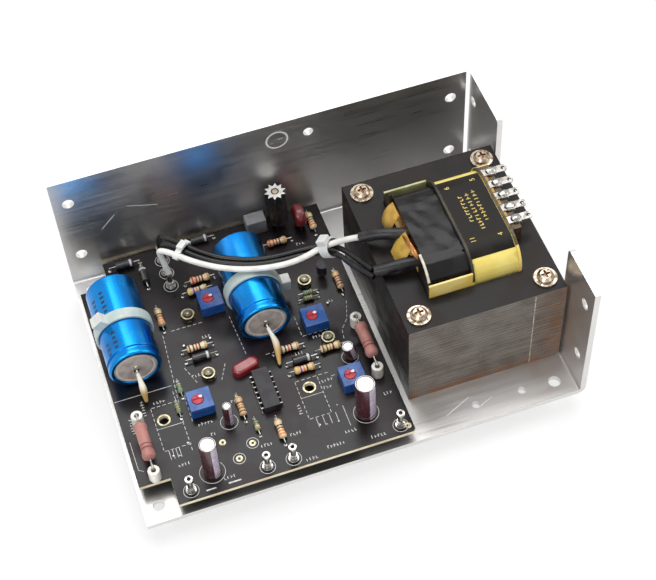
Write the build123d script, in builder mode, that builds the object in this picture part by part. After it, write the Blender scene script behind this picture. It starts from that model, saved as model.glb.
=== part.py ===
from build123d import *
import math
import os

# Open-frame linear power supply. A folded aluminium chassis carries a laminated transformer at the right and
# a black circuit board at the left, with two metal-can transistors screwed under the base.
# The origin is the centre of the chassis's footprint, on the plane that the supply stands on, with X along
# the length, Y towards the back wall and Z up. Sizes are in millimetres. Places are measured from the
# chassis's front left corner, and heights from the face that carries the piece.

# Chassis
length = 177.8
depth = 123.7
height = 63.5
sheet = 2.3
bend_inner = 1.0
bend_outer = sheet + bend_inner
relief_gap = 0.2
relief = bend_outer + relief_gap
front_ear_depth = 23.4
rear_ear_start = 91.5
ear_corner = 2.0
mount_hole = 4.8
mount_inset = 6.35
mount_inset_right = 10.15
ear_inset_back = 7.85
base_row_front = 7.0
base_row_back = 7.2
side_row_low = 19.05
side_row_rise = 31.75
small_hole = 3.2
small_hole_spots = ((134.8, 7.6), (154.1, 7.6))
wall_hole = 4.2
wall_hole_along = 106.2
wall_hole_up = 54.1
window_margin = 1.5

# Transformer core, of laminations whose sides are half as wide as their tongue
tongue = 25.4
core_side = tongue / 2
core_window = 1.5 * tongue
core_stack = 44.45
core_left = 111.0
core_front = 18.7
core_hole = 4.5
core_screw_inset = 6.35
core_screw = 4.1
washer_head_radius = 4.55
washer_head_thickness = 1.1
screw_dome_radius = 3.3
screw_dome_height = 1.9
screw_dome_chamfer = 1.1
cross_length = 3.6
cross_width = 0.9
cross_depth = 1.2
core_nut_width = 7.9
core_nut_height = 3.2
core_screw_proud = 0.8
core_length = core_window + 2 * core_side
core_depth = 2 * tongue + 2 * core_side
coil_y = core_front + core_depth / 2
seam_x = core_left + core_side + core_window

# Coil former and windings
former_gap = 0.3
former_wall = 1.2
former_bore_depth = tongue + 2 * former_gap
former_bore_height = core_stack + 2 * former_gap
tube_depth = former_bore_depth + 2 * former_wall
tube_height = former_bore_height + 2 * former_wall
flange_thickness = 1.0
flange_play = 0.5
flange_depth = core_depth - 2 * core_side - 2 * flange_play
flange_height = 68.8
flange_corner = 11.0
left_flange_x = core_left + core_side + former_gap
middle_flange_x = 141.5
right_flange_x = seam_x - former_gap - flange_thickness
flange_opening_front = 43.5
flange_opening_back = 75.0
liner_thickness = 0.8
liner_rise = 6.3
tape = 0.5
copper_depth = 46.0
copper_height = 65.0
secondary_depth = 47.0
secondary_height = 66.6
winding_gap = 0.4
tube_corner = 1.5
primary_corner = 10.0
secondary_corner = 10.5
label_thickness = 0.3
label_start = 144.3
label_width = 13.6
label_front = 38.3
label_back = 78.6
shelf_reach = 6.5
shelf_thickness = 7.0
shelf_front = 45.8
shelf_back = 80.0
lug_pitch = 6.35
lug_count = 5
lug_first = 50.2
lug_width = 3.4
lug_length = 11.6
lug_thickness = 0.8
lug_hole = 1.6

# Heights, from the plane that the coil's flanges stand on
core_middle_z = flange_height / 2
core_bottom = core_middle_z - core_stack / 2
base_top = core_bottom
base_bottom = base_top - sheet
core_top = core_bottom + core_stack

# Circuit board
spacer_height = 6.1
board_thickness = 1.6
board_left = 1.2
board_right = 107.2
board_front = 0.3
board_wall_gap = 1.1
board_back = depth - sheet - board_wall_gap
board_notch_x = 12.2
board_notch_y = 12.1
board_corner = 1.5
board_bottom = base_top + spacer_height
board_top = board_bottom + board_thickness
spare_hole = 3.9
spare_hole_spots = ((17.7, 38.0), (75.1, 32.9))

# Metal-can transistors under the base
can_spots = ((39.7, 66.5), (89.2, 66.5))
can_screw_pitch = 30.15
can_pin_pitch = 10.92
can_pin_offset = 1.85
can_pin = 1.0
can_pin_gap = 0.15
can_pin_clear = 4.0
can_pin_proud = 1.1
can_flange_thickness = 1.6
can_flange_round = 13.3
can_flange_end = 4.2
can_screw_hole = 4.0
can_foot_radius = 11.3
can_foot_height = 0.6
can_radius = 10.8
can_height = 8.7
can_edge = 1.0
mica = 0.25
mica_margin = 0.9
board_screw = 3.4
board_screw_gap = 0.1
board_screw_proud = 0.9
screw_head_radius = 3.0
screw_head_height = 2.0
spacer_radius = 3.175
nut_width = 5.0
nut_height = 1.9
washer_radius = 2.75
washer_thickness = 0.6
thread_gap = 0.03

# Large capacitors, lying along Y on the board
big_radius = 10.5
big_lift = 0.3
big_length = 40.3
big_groove = 0.7
big_groove_start = 2.4
big_groove_width = 1.6
big_seal_depth = 0.9
big_seal_radius = 8.6
big_edge = 1.0
big_spots = (("left", 13.2, 57.2, 76.5, (13.6, 49.8, 7.5), (13.6, 48.2)),
             ("right", 66.8, 60.3, 78.0, (68.4, 52.6, 7.0), (67.4, 46.6)))
nub = 2.2
nub_height = 1.2
big_lead = 0.9
big_lead_bend = 3.0
sleeve_radius = 1.3
sleeve_bore_gap = 0.1
sleeve_start_gap = 2.7
sleeve_end_gap = 1.2
lead_foot_gap = 0.25
rear_lead_reach = 4.6
strap_gap = 0.1
strap_thickness = 1.1
strap_width = 4.8
strap_slope = 30.0
strap_slot_gap = 0.2
strap_head_width = 5.2
strap_head_height = 4.2
strap_head_angles = (130.0, -5.0)

# Trimmers
trimmer_spots = ((50.1, 84.3), (86.8, 61.5), (33.0, 39.1), (91.8, 29.7))
trimmer_side = 9.5
trimmer_height = 5.0
trimmer_stand = 0.4
trimmer_foot = 1.4
rotor_offset = 0.8
rotor_radius = 2.2
rotor_gap = 0.1
rotor_thickness = 0.9
rotor_recess = 0.6
rotor_under = 0.08
stem_radius = 0.95
stem_gap = 0.05
stem_length = 2.6
slot_width = 0.7
slot_depth = 0.5

# Terminals
front_turret_spots = ((19.3, 4.5), (49.2, 4.5), (59.5, 4.5), (102.4, 4.5))
rear_turret_x = 37.4
rear_turret_insets = (20.8, 13.8, 6.8)
turret_height = 8.8
turret_ring = 1.6
turret_neck = 1.1
turret_foot = 2.1
turret_foot_height = 0.8
turret_collar = (2.4, 3.2)
turret_top_ring = 1.4
turret_shank = 0.8
turret_shank_gap = 0.05
turret_bore = 0.75
turret_bore_depth = 3.0
turret_swage = 1.4
turret_swage_height = 0.6

# Small parts on the board: places, with the way each one lies. Rear parts are given by x and their distance
# from the board's back edge.
carbon_along_x = ((49.3, 97.6), (46.8, 92.5), (39.0, 65.3), (73.0, 52.2), (88.6, 47.0), (75.8, 40.8))
carbon_along_y = ((28.7, 84.3), (102.2, 77.3), (47.2, 32.7), (58.5, 17.7))
rear_carbon_along_x = ((84.8, 15.4),)
rear_carbon_along_y = ((101.6, 9.7),)
green_along_x = ((88.8, 75.8), (88.1, 73.1))
green_along_y = ((27.3, 49.3), (24.3, 40.6), (50.6, 22.5))
diode_along_x = ((39.3, 60.4), (76.2, 45.4))
rear_diode_along_x = ((22.0, 4.6), (54.6, 2.7))
rear_diode_along_y = ((28.3, 12.7),)
carbon_length = 6.4
carbon_radius = 1.2
carbon_cap_radius = 1.4
carbon_cap_length = 1.7
carbon_pitch = 10.2
green_length = 4.4
green_radius = 1.0
green_cap_radius = 1.15
green_cap_length = 1.1
green_pitch = 8.4
diode_length = 5.2
diode_radius = 1.35
diode_pitch = 10.2
small_lead = 0.6
small_lift = 0.3

# Power resistors on ceramic beads: place of the front bead
power_spots = (("left", 8.1, 14.4), ("right", 102.0, 29.3))
power_pitch = 25.4
power_length = 16.0
power_radius = 3.0
power_cap_radius = 3.3
power_cap_length = 2.4
power_lead = 0.8
bead_radius = 2.35
bead_height = 6.0
bead_bore = 0.9

# Standing capacitors: place, radius, height and lean to the left in degrees
can_capacitors = ((29.0, 9.5, 4.0, 20.0, 0.0), (92.0, 14.5, 4.0, 20.0, 0.0), (41.2, 28.5, 2.6, 11.5, 0.0),
                  (95.4, 41.0, 2.5, 7.5, 12.0))
can_capacitor_groove = 0.35
can_capacitor_groove_span = (1.2, 2.0)
can_capacitor_rim = 0.5

# Star cooler on its transistor
star_x = 88.5
star_inset = 5.3
star_points = 10
star_tip_radius = 4.6
star_root_radius = 3.0
star_height = 18.5
star_stand = 3.0
star_bore_depth = 8.0
driver_radius = 2.4
driver_gap = 0.03
driver_height = 6.0
driver_foot_radius = 2.8
driver_foot_height = 0.8

# Other parts on the board
chip_spot = (58.6, 36.3)
chip_size = (6.4, 18.6, 3.4)
chip_stand = 0.6
chip_pins = 7
chip_pin_pitch = 2.54
chip_span = 7.6
dipped_spot = (54.3, 49.6)
dipped_size = (11.4, 5.4, 3.8)
dipped_turn = 15.0
dipped_edge = 1.5
disc_x = 96.9
disc_inset = 8.4
disc_radius = 4.2
disc_thickness = 3.8
disc_edge = 1.4
disc_stand = 1.2
film_x = 79.0
film_inset = 4.3
film_size = (8.5, 6.0, 7.6)
film_edge = 0.5
plain_transistor_spot = (97.5, 83.0)
plain_transistor_radius = 2.4
plain_transistor_height = 4.7
plain_transistor_stand = 2.6
plain_transistor_pin_pitch = 1.27

# Leads from the transformer to the board: heights here are above the base's underside
white_lead_diameter = 2.4
black_lead_diameter = 2.2
white_route = ((108.4, 66.3, 49.7), (99.0, 73.8, 42.2), (84.0, 73.0, 36.3), (66.0, 77.5, 34.2),
               (50.0, 86.0, 34.2), (38.1, 99.6, 34.8), (37.4, 99.9, 26.0), (37.4, 99.5, 19.0))
lower_route = ((107.5, 46.9, 48.6), (102.2, 56.5, 46.4), (100.0, 66.5, 42.8), (95.9, 73.2, 37.8),
               (88.5, 75.6, 36.6), (77.5, 77.1, 35.1), (66.9, 79.9, 34.2), (51.8, 87.7, 34.2),
               (38.3, 103.0, 34.6), (37.5, 106.2, 27.0), (37.4, 106.5, 19.0))
upper_route = ((108.2, 50.2, 48.8), (105.2, 58.4, 46.5), (102.4, 68.0, 42.8), (98.6, 75.6, 38.6),
               (90.5, 78.0, 36.7), (77.8, 79.5, 35.1), (67.8, 82.3, 34.2), (53.6, 89.5, 34.2),
               (39.4, 105.5, 34.6), (37.6, 112.6, 27.0), (37.4, 113.5, 19.0))
winding_sleeve = 4.9
sleeve_routes = (((125.0, 64.0, 53.0), (114.0, 65.2, 52.4), (109.0, 65.8, 50.2)),
                 ((125.0, 46.8, 51.1), (117.0, 46.9, 50.8), (109.0, 48.5, 49.2)))
tie_thickness = 0.9
tie_width = 2.6
tie_corner_slack = 0.01
tie_head = (4.6, 3.6)
lead_tie_place = (98.0, 72.6, 40.6)
lead_tie_along = (-0.6, 0.6, -0.5)
lead_tie_inner = (7.6, 7.4)
bundle_tie_place = (44.0, 96.6, 34.4)
bundle_tie_along = (-0.66, 0.75, 0.0)
bundle_tie_inner = (8.6, 3.4)


def at(x, y):
    """Return the place that lies x and y from the chassis's front left corner."""
    return (x - length / 2, y - depth / 2)


def behind(x, inset):
    """Return the x and y of a place that lies inset in front of the board's back edge."""
    return (x, board_back - inset)


def raised(x, y, z):
    """Return the point at that place and z above the base's underside."""
    return (*at(x, y), base_bottom + z)


def finish(piece, name):
    """Label a finished piece and write it."""
    piece.part.label = name
    export_step(piece.part, f"parts/{name}.step")


def turned(steps, plane=Plane.XZ):
    """Half section of a turned piece: each step is a radius with a lower and an upper height."""
    with BuildSketch(plane) as section:
        for radius, low, high in steps:
            with Locations((0, low)):
                Rectangle(radius, high - low, align=(Align.MIN, Align.MIN))
    return section.sketch


def fold(plane, start, reach, rise):
    """Section of a folded sheet: flat from start to reach, then up to rise."""
    with BuildSketch(plane) as section:
        with BuildLine():
            Line((start, 0), (reach - bend_outer, 0))
            JernArc((reach - bend_outer, 0), (1, 0), bend_outer, 90)
            Line((reach, bend_outer), (reach, rise))
            Line((reach, rise), (reach - sheet, rise))
            Line((reach - sheet, rise), (reach - sheet, bend_outer))
            JernArc((reach - sheet, bend_outer), (0, -1), bend_inner, -90)
            Line((reach - bend_outer, sheet), (start, sheet))
            Line((start, sheet), (start, 0))
        make_face()
    return section.sketch


def can_plate(plane, margin):
    """Rhombic outline of a metal-can transistor's flange, grown by a margin."""
    with BuildSketch(plane) as outline:
        with BuildSketch(mode=Mode.PRIVATE) as rounds:
            Circle(can_flange_round + margin)
            with Locations((0, -can_screw_pitch / 2), (0, can_screw_pitch / 2)):
                Circle(can_flange_end + margin)
        make_hull(rounds.sketch.edges())
    return outline.sketch


def tube(points, radii, diameter, bore=0.0):
    """Round tube or wire along straight runs joined by tangent arcs."""
    with BuildLine() as route:
        FilletPolyline(*points, radius=radii)
    with BuildSketch(Plane(route.line @ 0, z_dir=route.line % 0)) as section:
        Circle(diameter / 2)
        if bore > 0:
            Circle(bore / 2, mode=Mode.SUBTRACT)
    with BuildPart() as piece:
        sweep(section.sketch, path=route.wire())
    return piece.part


def cord_radii(points):
    """Arc radius at each corner of a cord: 0.45 of the shorter run over the tangent of half the turn."""
    places = [Vector(point) for point in points]
    runs = [after - before for before, after in zip(places, places[1:])]
    radii = []
    for before, after in zip(runs, runs[1:]):
        half_turn = math.radians(before.get_angle(after)) / 2
        radii.append(0.45 * min(before.length, after.length) / math.tan(half_turn))
    return radii


def axial(body_steps, pitch, lift):
    """Axial part along X with its leads bent down to the board, centred on its place."""
    with BuildLine() as wire_route:
        Polyline((-pitch / 2, 0, 0), (-pitch / 2, 0, lift), (pitch / 2, 0, lift), (pitch / 2, 0, 0))
    with BuildSketch(Plane((-pitch / 2, 0, 0))) as wire_section:
        Circle(small_lead / 2)
    section = turned(body_steps, Plane(origin=(0, 0, lift), x_dir=(0, 0, 1), z_dir=(0, -1, 0)))
    with BuildPart() as piece:
        sweep(wire_section.sketch, path=wire_route.wire(), transition=Transition.RIGHT)
        revolve(section, axis=Axis((0, 0, lift), (1, 0, 0)))
    return piece.part


def spread(piece, along_x, along_y, rear_along_x=(), rear_along_y=()):
    """Copies of a small part at their places on the board, along X or turned along Y."""
    all_along_x = (*along_x, *[behind(*spot) for spot in rear_along_x])
    all_along_y = (*along_y, *[behind(*spot) for spot in rear_along_y])
    with BuildPart() as group:
        with Locations(*[(*at(*spot), board_top) for spot in all_along_x]):
            add(piece)
        with Locations(*[Location((*at(*spot), board_top), (0, 0, 90)) for spot in all_along_y]):
            add(piece)
    return group


os.makedirs("parts", exist_ok=True)

can_screw_spots = [(x, y + side * can_screw_pitch / 2) for x, y in can_spots for side in (-1, 1)]
can_pin_spots = [(x + side * can_pin_pitch / 2, y + can_pin_offset) for x, y in can_spots for side in (-1, 1)]
core_screw_spots = [(core_left + x, core_front + y)
                    for x in (core_screw_inset, core_length - core_screw_inset)
                    for y in (core_screw_inset, core_depth - core_screw_inset)]
turret_spots = (*front_turret_spots, *[behind(rear_turret_x, inset) for inset in rear_turret_insets])
star_spot = behind(star_x, star_inset)
disc_spot = behind(disc_x, disc_inset)
film_spot = behind(film_x, film_inset)
mount_columns = (mount_inset, length - mount_inset_right)
base_rows = (base_row_front, depth - base_row_back)
ear_columns = (mount_inset, depth - ear_inset_back)
side_rows = (side_row_low, side_row_low + side_row_rise)

# Chassis: base and back wall in one fold, two ears in the other
base_plane = Plane(origin=(*at(0, 0), base_bottom), x_dir=(0, 1, 0), z_dir=(1, 0, 0))
wall_section = fold(base_plane, 0, depth, height)
ear_plane = Plane(origin=(*at(0, 0), base_bottom), x_dir=(1, 0, 0), z_dir=(0, -1, 0))
ear_section = fold(ear_plane, length - relief, length, height)
wall_plane = Plane(origin=(*at(0, depth), base_bottom), x_dir=(1, 0, 0), z_dir=(0, -1, 0))
side_plane = Plane(origin=(*at(length, 0), base_bottom), x_dir=(0, 1, 0), z_dir=(1, 0, 0))
window_depth = flange_depth + 2 * window_margin
window_length = right_flange_x + flange_thickness - left_flange_x + 2 * window_margin
window_middle = (right_flange_x + flange_thickness + left_flange_x) / 2
with BuildPart() as chassis:
    extrude(wall_section, amount=length - relief)
    extrude(ear_section, amount=-front_ear_depth)
    extrude(ear_section.moved(Location((0, rear_ear_start, 0))), amount=-(depth - relief - rear_ear_start))
    gap_corners = chassis.edges().filter_by(Axis.X).group_by(Axis.Z)[-1]
    gap_corners = gap_corners.filter_by(lambda edge: edge.center().X > length / 2 - sheet)
    fillet(gap_corners.sort_by(Axis.Y)[1:3], ear_corner)
    with BuildSketch(Plane.XY.offset(base_bottom)):
        with Locations(*[at(x, y) for x in mount_columns for y in base_rows]):
            Circle(mount_hole / 2)
        with Locations(*[at(*spot) for spot in small_hole_spots]):
            Circle(small_hole / 2)
        with Locations(*[at(*spot) for spot in core_screw_spots]):
            Circle(core_hole / 2)
        with Locations(*[at(*spot) for spot in can_screw_spots]):
            Circle(board_screw / 2 + board_screw_gap)
        with Locations(*[at(*spot) for spot in can_pin_spots]):
            Circle(can_pin_clear / 2)
        with Locations(at(window_middle, coil_y)):
            RectangleRounded(window_length, window_depth, ear_corner)
    extrude(amount=sheet, mode=Mode.SUBTRACT)
    with BuildSketch(wall_plane):
        with Locations(*[(x, z) for x in mount_columns for z in side_rows]):
            Circle(mount_hole / 2)
        with Locations((wall_hole_along, wall_hole_up)):
            Circle(wall_hole / 2)
    extrude(amount=sheet, mode=Mode.SUBTRACT)
    with BuildSketch(side_plane):
        with Locations(*[(y, z) for y in ear_columns for z in side_rows]):
            Circle(mount_hole / 2)
    extrude(amount=-sheet, mode=Mode.SUBTRACT)
finish(chassis, "chassis")


def strap_reach(radius, drop):
    """How far from its capacitor's axis a strap's straight side lies, at that drop below the axis."""
    slope = math.radians(strap_slope)
    return (radius - drop * math.sin(slope)) / math.cos(slope)


# Straps round the large capacitors pass through slots in the board and close under it
big_axis_up = big_lift + big_radius
strap_inner = big_radius + strap_gap
strap_outer = strap_inner + strap_thickness
strap_depths = (big_axis_up, big_axis_up + board_thickness)
slot_inner = strap_reach(strap_inner, strap_depths[1]) - strap_slot_gap
slot_outer = strap_reach(strap_outer, strap_depths[0]) + strap_slot_gap

# Circuit board
with BuildPart() as circuit_board:
    with BuildSketch(Plane.XY.offset(board_bottom)) as board_outline:
        with Locations(at(board_left, board_front)):
            Rectangle(board_right - board_left, board_back - board_front, align=(Align.MIN, Align.MIN))
            Rectangle(board_notch_x, board_notch_y, align=(Align.MIN, Align.MIN), mode=Mode.SUBTRACT)
        with Locations(at(board_left, board_back)):
            Rectangle(board_notch_x, board_notch_y, align=(Align.MIN, Align.MAX), mode=Mode.SUBTRACT)
        fillet(board_outline.vertices().sort_by_distance((*at(board_right, board_front), 0))[0], board_corner)
        with Locations(*[at(*spot) for spot in can_screw_spots]):
            Circle(board_screw / 2 + board_screw_gap, mode=Mode.SUBTRACT)
        with Locations(*[at(*spot) for spot in can_pin_spots]):
            Circle(can_pin / 2 + can_pin_gap, mode=Mode.SUBTRACT)
        with Locations(*[at(*spot) for spot in turret_spots]):
            Circle(turret_shank + turret_shank_gap, mode=Mode.SUBTRACT)
        with Locations(*[at(*spot) for spot in spare_hole_spots]):
            Circle(spare_hole / 2, mode=Mode.SUBTRACT)
        for name, axis_x, front, strap_y, bend, end in big_spots:
            for side in (-1, 1):
                with Locations(at(axis_x + side * (slot_inner + slot_outer) / 2, strap_y)):
                    Rectangle(slot_outer - slot_inner, strap_width + 2 * strap_slot_gap, mode=Mode.SUBTRACT)
    extrude(amount=board_thickness)
finish(circuit_board, "circuit_board")

# Spacers between base and board, and the screws and nuts that hold board, base and cans together
with BuildPart() as board_spacers:
    with BuildSketch(Plane.XY.offset(base_top)):
        with Locations(*[at(*spot) for spot in can_screw_spots]):
            Circle(spacer_radius)
            Circle(board_screw / 2 + board_screw_gap, mode=Mode.SUBTRACT)
    extrude(amount=spacer_height)
finish(board_spacers, "board_spacers")

can_face = base_bottom - mica
nut_top = board_top + washer_thickness + nut_height
screw_head_top = can_face - can_flange_thickness
with BuildPart() as transistor_screws:
    with Locations(*[(*at(*spot), screw_head_top) for spot in can_screw_spots]):
        Cylinder(screw_head_radius, screw_head_height, align=(Align.CENTER, Align.CENTER, Align.MAX))
        Cylinder(board_screw / 2, nut_top + board_screw_proud - screw_head_top,
                 align=(Align.CENTER, Align.CENTER, Align.MIN))
finish(transistor_screws, "transistor_screws")

with BuildPart() as transistor_nuts:
    for outline_radius, sides, low, thick in ((washer_radius, 0, board_top, washer_thickness),
                                              (nut_width / 2, 6, board_top + washer_thickness, nut_height)):
        with BuildSketch(Plane.XY.offset(low)):
            with Locations(*[at(*spot) for spot in can_screw_spots]):
                if sides:
                    RegularPolygon(outline_radius, sides, major_radius=False)
                else:
                    Circle(outline_radius)
                Circle(board_screw / 2 + thread_gap, mode=Mode.SUBTRACT)
        extrude(amount=thick)
finish(transistor_nuts, "transistor_nuts")

# Metal-can transistors with their mica washers
mica_plate = can_plate(Plane.XY, mica_margin)
flange_plate = can_plate(Plane.XY, 0)
screw_holes = [(0, -can_screw_pitch / 2), (0, can_screw_pitch / 2)]
pin_holes = [(-can_pin_pitch / 2, can_pin_offset), (can_pin_pitch / 2, can_pin_offset)]
with BuildPart() as mica_washer:
    extrude(mica_plate, amount=-mica)
    with BuildSketch():
        with Locations(*screw_holes):
            Circle(board_screw / 2 + board_screw_gap)
        with Locations(*pin_holes):
            Circle(can_pin / 2 + can_pin_gap)
    extrude(amount=-mica, mode=Mode.SUBTRACT)
with BuildPart() as transistor_insulators:
    with Locations(*[(*at(*spot), base_bottom) for spot in can_spots]):
        add(mica_washer.part)
finish(transistor_insulators, "transistor_insulators")

can_bottom = -can_height
pin_reach = board_top + can_pin_proud - can_face
with BuildPart() as metal_can:
    extrude(flange_plate, amount=-can_flange_thickness)
    with BuildSketch():
        with Locations(*screw_holes):
            Circle(can_screw_hole / 2)
    extrude(amount=-can_flange_thickness, mode=Mode.SUBTRACT)
    revolve(turned(((can_foot_radius, -can_flange_thickness - can_foot_height, -can_flange_thickness),
                    (can_radius, can_bottom, -can_flange_thickness))), axis=Axis.Z)
    fillet(metal_can.edges().group_by(Axis.Z)[0], can_edge)
    with Locations(*pin_holes):
        Cylinder(can_pin / 2, pin_reach, align=(Align.CENTER, Align.CENTER, Align.MIN))
for side, spot in zip(("left", "right"), can_spots):
    with BuildPart() as pass_transistor:
        with Locations((*at(*spot), can_face)):
            add(metal_can.part)
    finish(pass_transistor, f"pass_transistor_{side}")

# Transformer core: E and I laminations, stacked flat
with BuildPart() as core_e_stack:
    with BuildSketch(Plane.XY.offset(core_bottom)):
        with Locations(at(core_left, core_front)):
            Rectangle(core_length - core_side, core_depth, align=(Align.MIN, Align.MIN))
        for window_front in (core_front + core_side, core_front + core_depth - 2 * core_side):
            with Locations(at(core_left + core_side, window_front)):
                Rectangle(core_window, core_side, align=(Align.MIN, Align.MIN), mode=Mode.SUBTRACT)
        with Locations(*[at(*spot) for spot in core_screw_spots[:2]]):
            Circle(core_hole / 2, mode=Mode.SUBTRACT)
    extrude(amount=core_stack)
finish(core_e_stack, "core_e_stack")

with BuildPart() as core_i_stack:
    with BuildSketch(Plane.XY.offset(core_bottom)):
        with Locations(at(seam_x, core_front)):
            Rectangle(core_side, core_depth, align=(Align.MIN, Align.MIN))
        with Locations(*[at(*spot) for spot in core_screw_spots[2:]]):
            Circle(core_hole / 2, mode=Mode.SUBTRACT)
    extrude(amount=core_stack)
finish(core_i_stack, "core_i_stack")


def coil_plane(x):
    """Plane across the coil's axis at that distance from the chassis's left end."""
    return Plane(origin=(*at(x, coil_y), core_middle_z), x_dir=(0, 1, 0), z_dir=(1, 0, 0))


# Former: a tube on the tongue with three flanges, slot liners and the shelf that carries the lugs
liner_top = core_top + liner_rise
lug_row_top = core_top + former_gap + shelf_thickness
with BuildPart() as bobbin:
    with BuildSketch(coil_plane(left_flange_x)):
        RectangleRounded(tube_depth, tube_height, tube_corner)
    extrude(amount=right_flange_x + flange_thickness - left_flange_x)
    for flange_x in (left_flange_x, middle_flange_x, right_flange_x):
        with BuildSketch(coil_plane(flange_x)):
            RectangleRounded(flange_depth, flange_height, flange_corner)
        extrude(amount=flange_thickness)
    for side in (Align.MIN, Align.MAX):
        edge_y = coil_y - flange_depth / 2 if side == Align.MIN else coil_y + flange_depth / 2
        with Locations((*at(left_flange_x, edge_y), liner_top)):
            Box(middle_flange_x - left_flange_x, liner_thickness, liner_top - core_middle_z,
                align=(Align.MIN, side, Align.MAX))
    with Locations((*at(right_flange_x, shelf_front), lug_row_top)):
        Box(shelf_reach, shelf_back - shelf_front, shelf_thickness, align=(Align.MIN, Align.MIN, Align.MAX))
    with BuildSketch(coil_plane(left_flange_x)):
        Rectangle(former_bore_depth, former_bore_height)
    extrude(amount=right_flange_x + flange_thickness - left_flange_x, mode=Mode.SUBTRACT)
    with Locations((*at(left_flange_x, flange_opening_front), core_middle_z + tube_height / 2)):
        Box(flange_thickness, flange_opening_back - flange_opening_front, flange_height,
            align=(Align.MIN, Align.MIN, Align.MIN), mode=Mode.SUBTRACT)
finish(bobbin, "bobbin")

# Windings, each with its tape
primary_start = left_flange_x + flange_thickness
primary_end = middle_flange_x
secondary_start = middle_flange_x + flange_thickness
secondary_end = right_flange_x
former_section = (tube_depth, tube_height, tube_corner)
primary_section = (copper_depth, copper_height, primary_corner)
primary_tape_section = (copper_depth + 2 * tape, copper_height + 2 * tape, primary_corner + tape)
secondary_section = (secondary_depth, secondary_height, secondary_corner)
secondary_tape_section = (secondary_depth + 2 * tape, secondary_height + 2 * tape, secondary_corner + tape)
tape_start = primary_start + 2 * winding_gap
rings = (("primary_winding", primary_start + winding_gap, primary_end, former_section, primary_section),
         ("primary_tape", tape_start, primary_end, primary_section, primary_tape_section),
         ("secondary_winding", secondary_start, secondary_end, former_section, secondary_section),
         ("secondary_tape", secondary_start, secondary_end, secondary_section, secondary_tape_section))
for name, start, end, inner, outer in rings:
    with BuildPart() as ring:
        with BuildSketch(coil_plane(start)):
            RectangleRounded(*outer)
            RectangleRounded(*inner, mode=Mode.SUBTRACT)
        extrude(amount=end - start)
    finish(ring, name)

# Label over the second winding's top
label_depth, label_height, label_corner = secondary_tape_section
with BuildPart() as winding_label:
    with BuildSketch(coil_plane(label_start)):
        RectangleRounded(label_depth + 2 * label_thickness, label_height + 2 * label_thickness,
                         label_corner + label_thickness)
        RectangleRounded(*secondary_tape_section, mode=Mode.SUBTRACT)
        with Locations((0, flange_height / 2)):
            Rectangle(label_back - label_front, flange_height / 2, mode=Mode.INTERSECT)
    extrude(amount=label_width)
finish(winding_label, "winding_label")

# Washer-head screws through the core, and their nuts under the base
core_screw_end = base_bottom - core_nut_height - core_screw_proud
head_top = core_top + washer_head_thickness + screw_dome_height
with BuildPart() as core_screw_piece:
    revolve(turned(((core_screw / 2, core_screw_end, core_top),
                    (washer_head_radius, core_top, core_top + washer_head_thickness),
                    (screw_dome_radius, core_top, head_top))),
            axis=Axis.Z)
    chamfer(core_screw_piece.edges().group_by(Axis.Z)[-1], screw_dome_chamfer)
    with BuildSketch(Plane.XY.offset(head_top)):
        Rectangle(cross_length, cross_width)
        Rectangle(cross_width, cross_length)
    extrude(amount=-cross_depth, mode=Mode.SUBTRACT)
with BuildPart() as transformer_screws:
    with Locations(*[at(*spot) for spot in core_screw_spots]):
        add(core_screw_piece.part)
finish(transformer_screws, "transformer_screws")

with BuildPart() as transformer_nuts:
    with BuildSketch(Plane.XY.offset(base_bottom)):
        with Locations(*[at(*spot) for spot in core_screw_spots]):
            RegularPolygon(core_nut_width / 2, 6, major_radius=False)
            Circle(core_screw / 2 + thread_gap, mode=Mode.SUBTRACT)
    extrude(amount=-core_nut_height)
finish(transformer_nuts, "transformer_nuts")

# Tinned lugs on the shelf
with BuildPart() as terminal_lugs:
    with BuildSketch(Plane.XY.offset(lug_row_top)):
        for number in range(lug_count):
            lug_tip = right_flange_x + flange_thickness + lug_length
            lug_y = lug_first + number * lug_pitch
            with Locations(at(lug_tip - lug_length / 2, lug_y)):
                SlotOverall(lug_length, lug_width)
            with Locations(at(lug_tip - lug_width / 2, lug_y)):
                Circle(lug_hole / 2, mode=Mode.SUBTRACT)
    extrude(amount=lug_thickness)
finish(terminal_lugs, "terminal_lugs")

# Large capacitors with their seals, leads, sleeves and straps
big_axis_z = board_top + big_axis_up
with BuildPart() as capacitor_body:
    revolve(turned(((big_radius, 0, big_groove_start),
                    (big_radius - big_groove, big_groove_start, big_groove_start + big_groove_width),
                    (big_radius, big_groove_start + big_groove_width, big_length))), axis=Axis.Z)
    ends = capacitor_body.edges().filter_by(GeomType.CIRCLE).group_by(Axis.Z)
    fillet(ends[0] + ends[-1], big_edge)
    with BuildSketch():
        Circle(big_seal_radius)
    extrude(amount=big_seal_depth, mode=Mode.SUBTRACT)
with BuildPart() as capacitor_seal:
    with BuildSketch(Plane.XY.offset(big_seal_depth / 2)):
        Circle(big_seal_radius)
    extrude(amount=big_seal_depth / 2)

with BuildPart() as capacitor_seals:
    with Locations(*[Location((*at(axis_x, front), big_axis_z), (-90, 0, 0))
                     for name, axis_x, front, strap_y, bend, end in big_spots]):
        add(capacitor_seal.part)
finish(capacitor_seals, "capacitor_seals")

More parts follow.
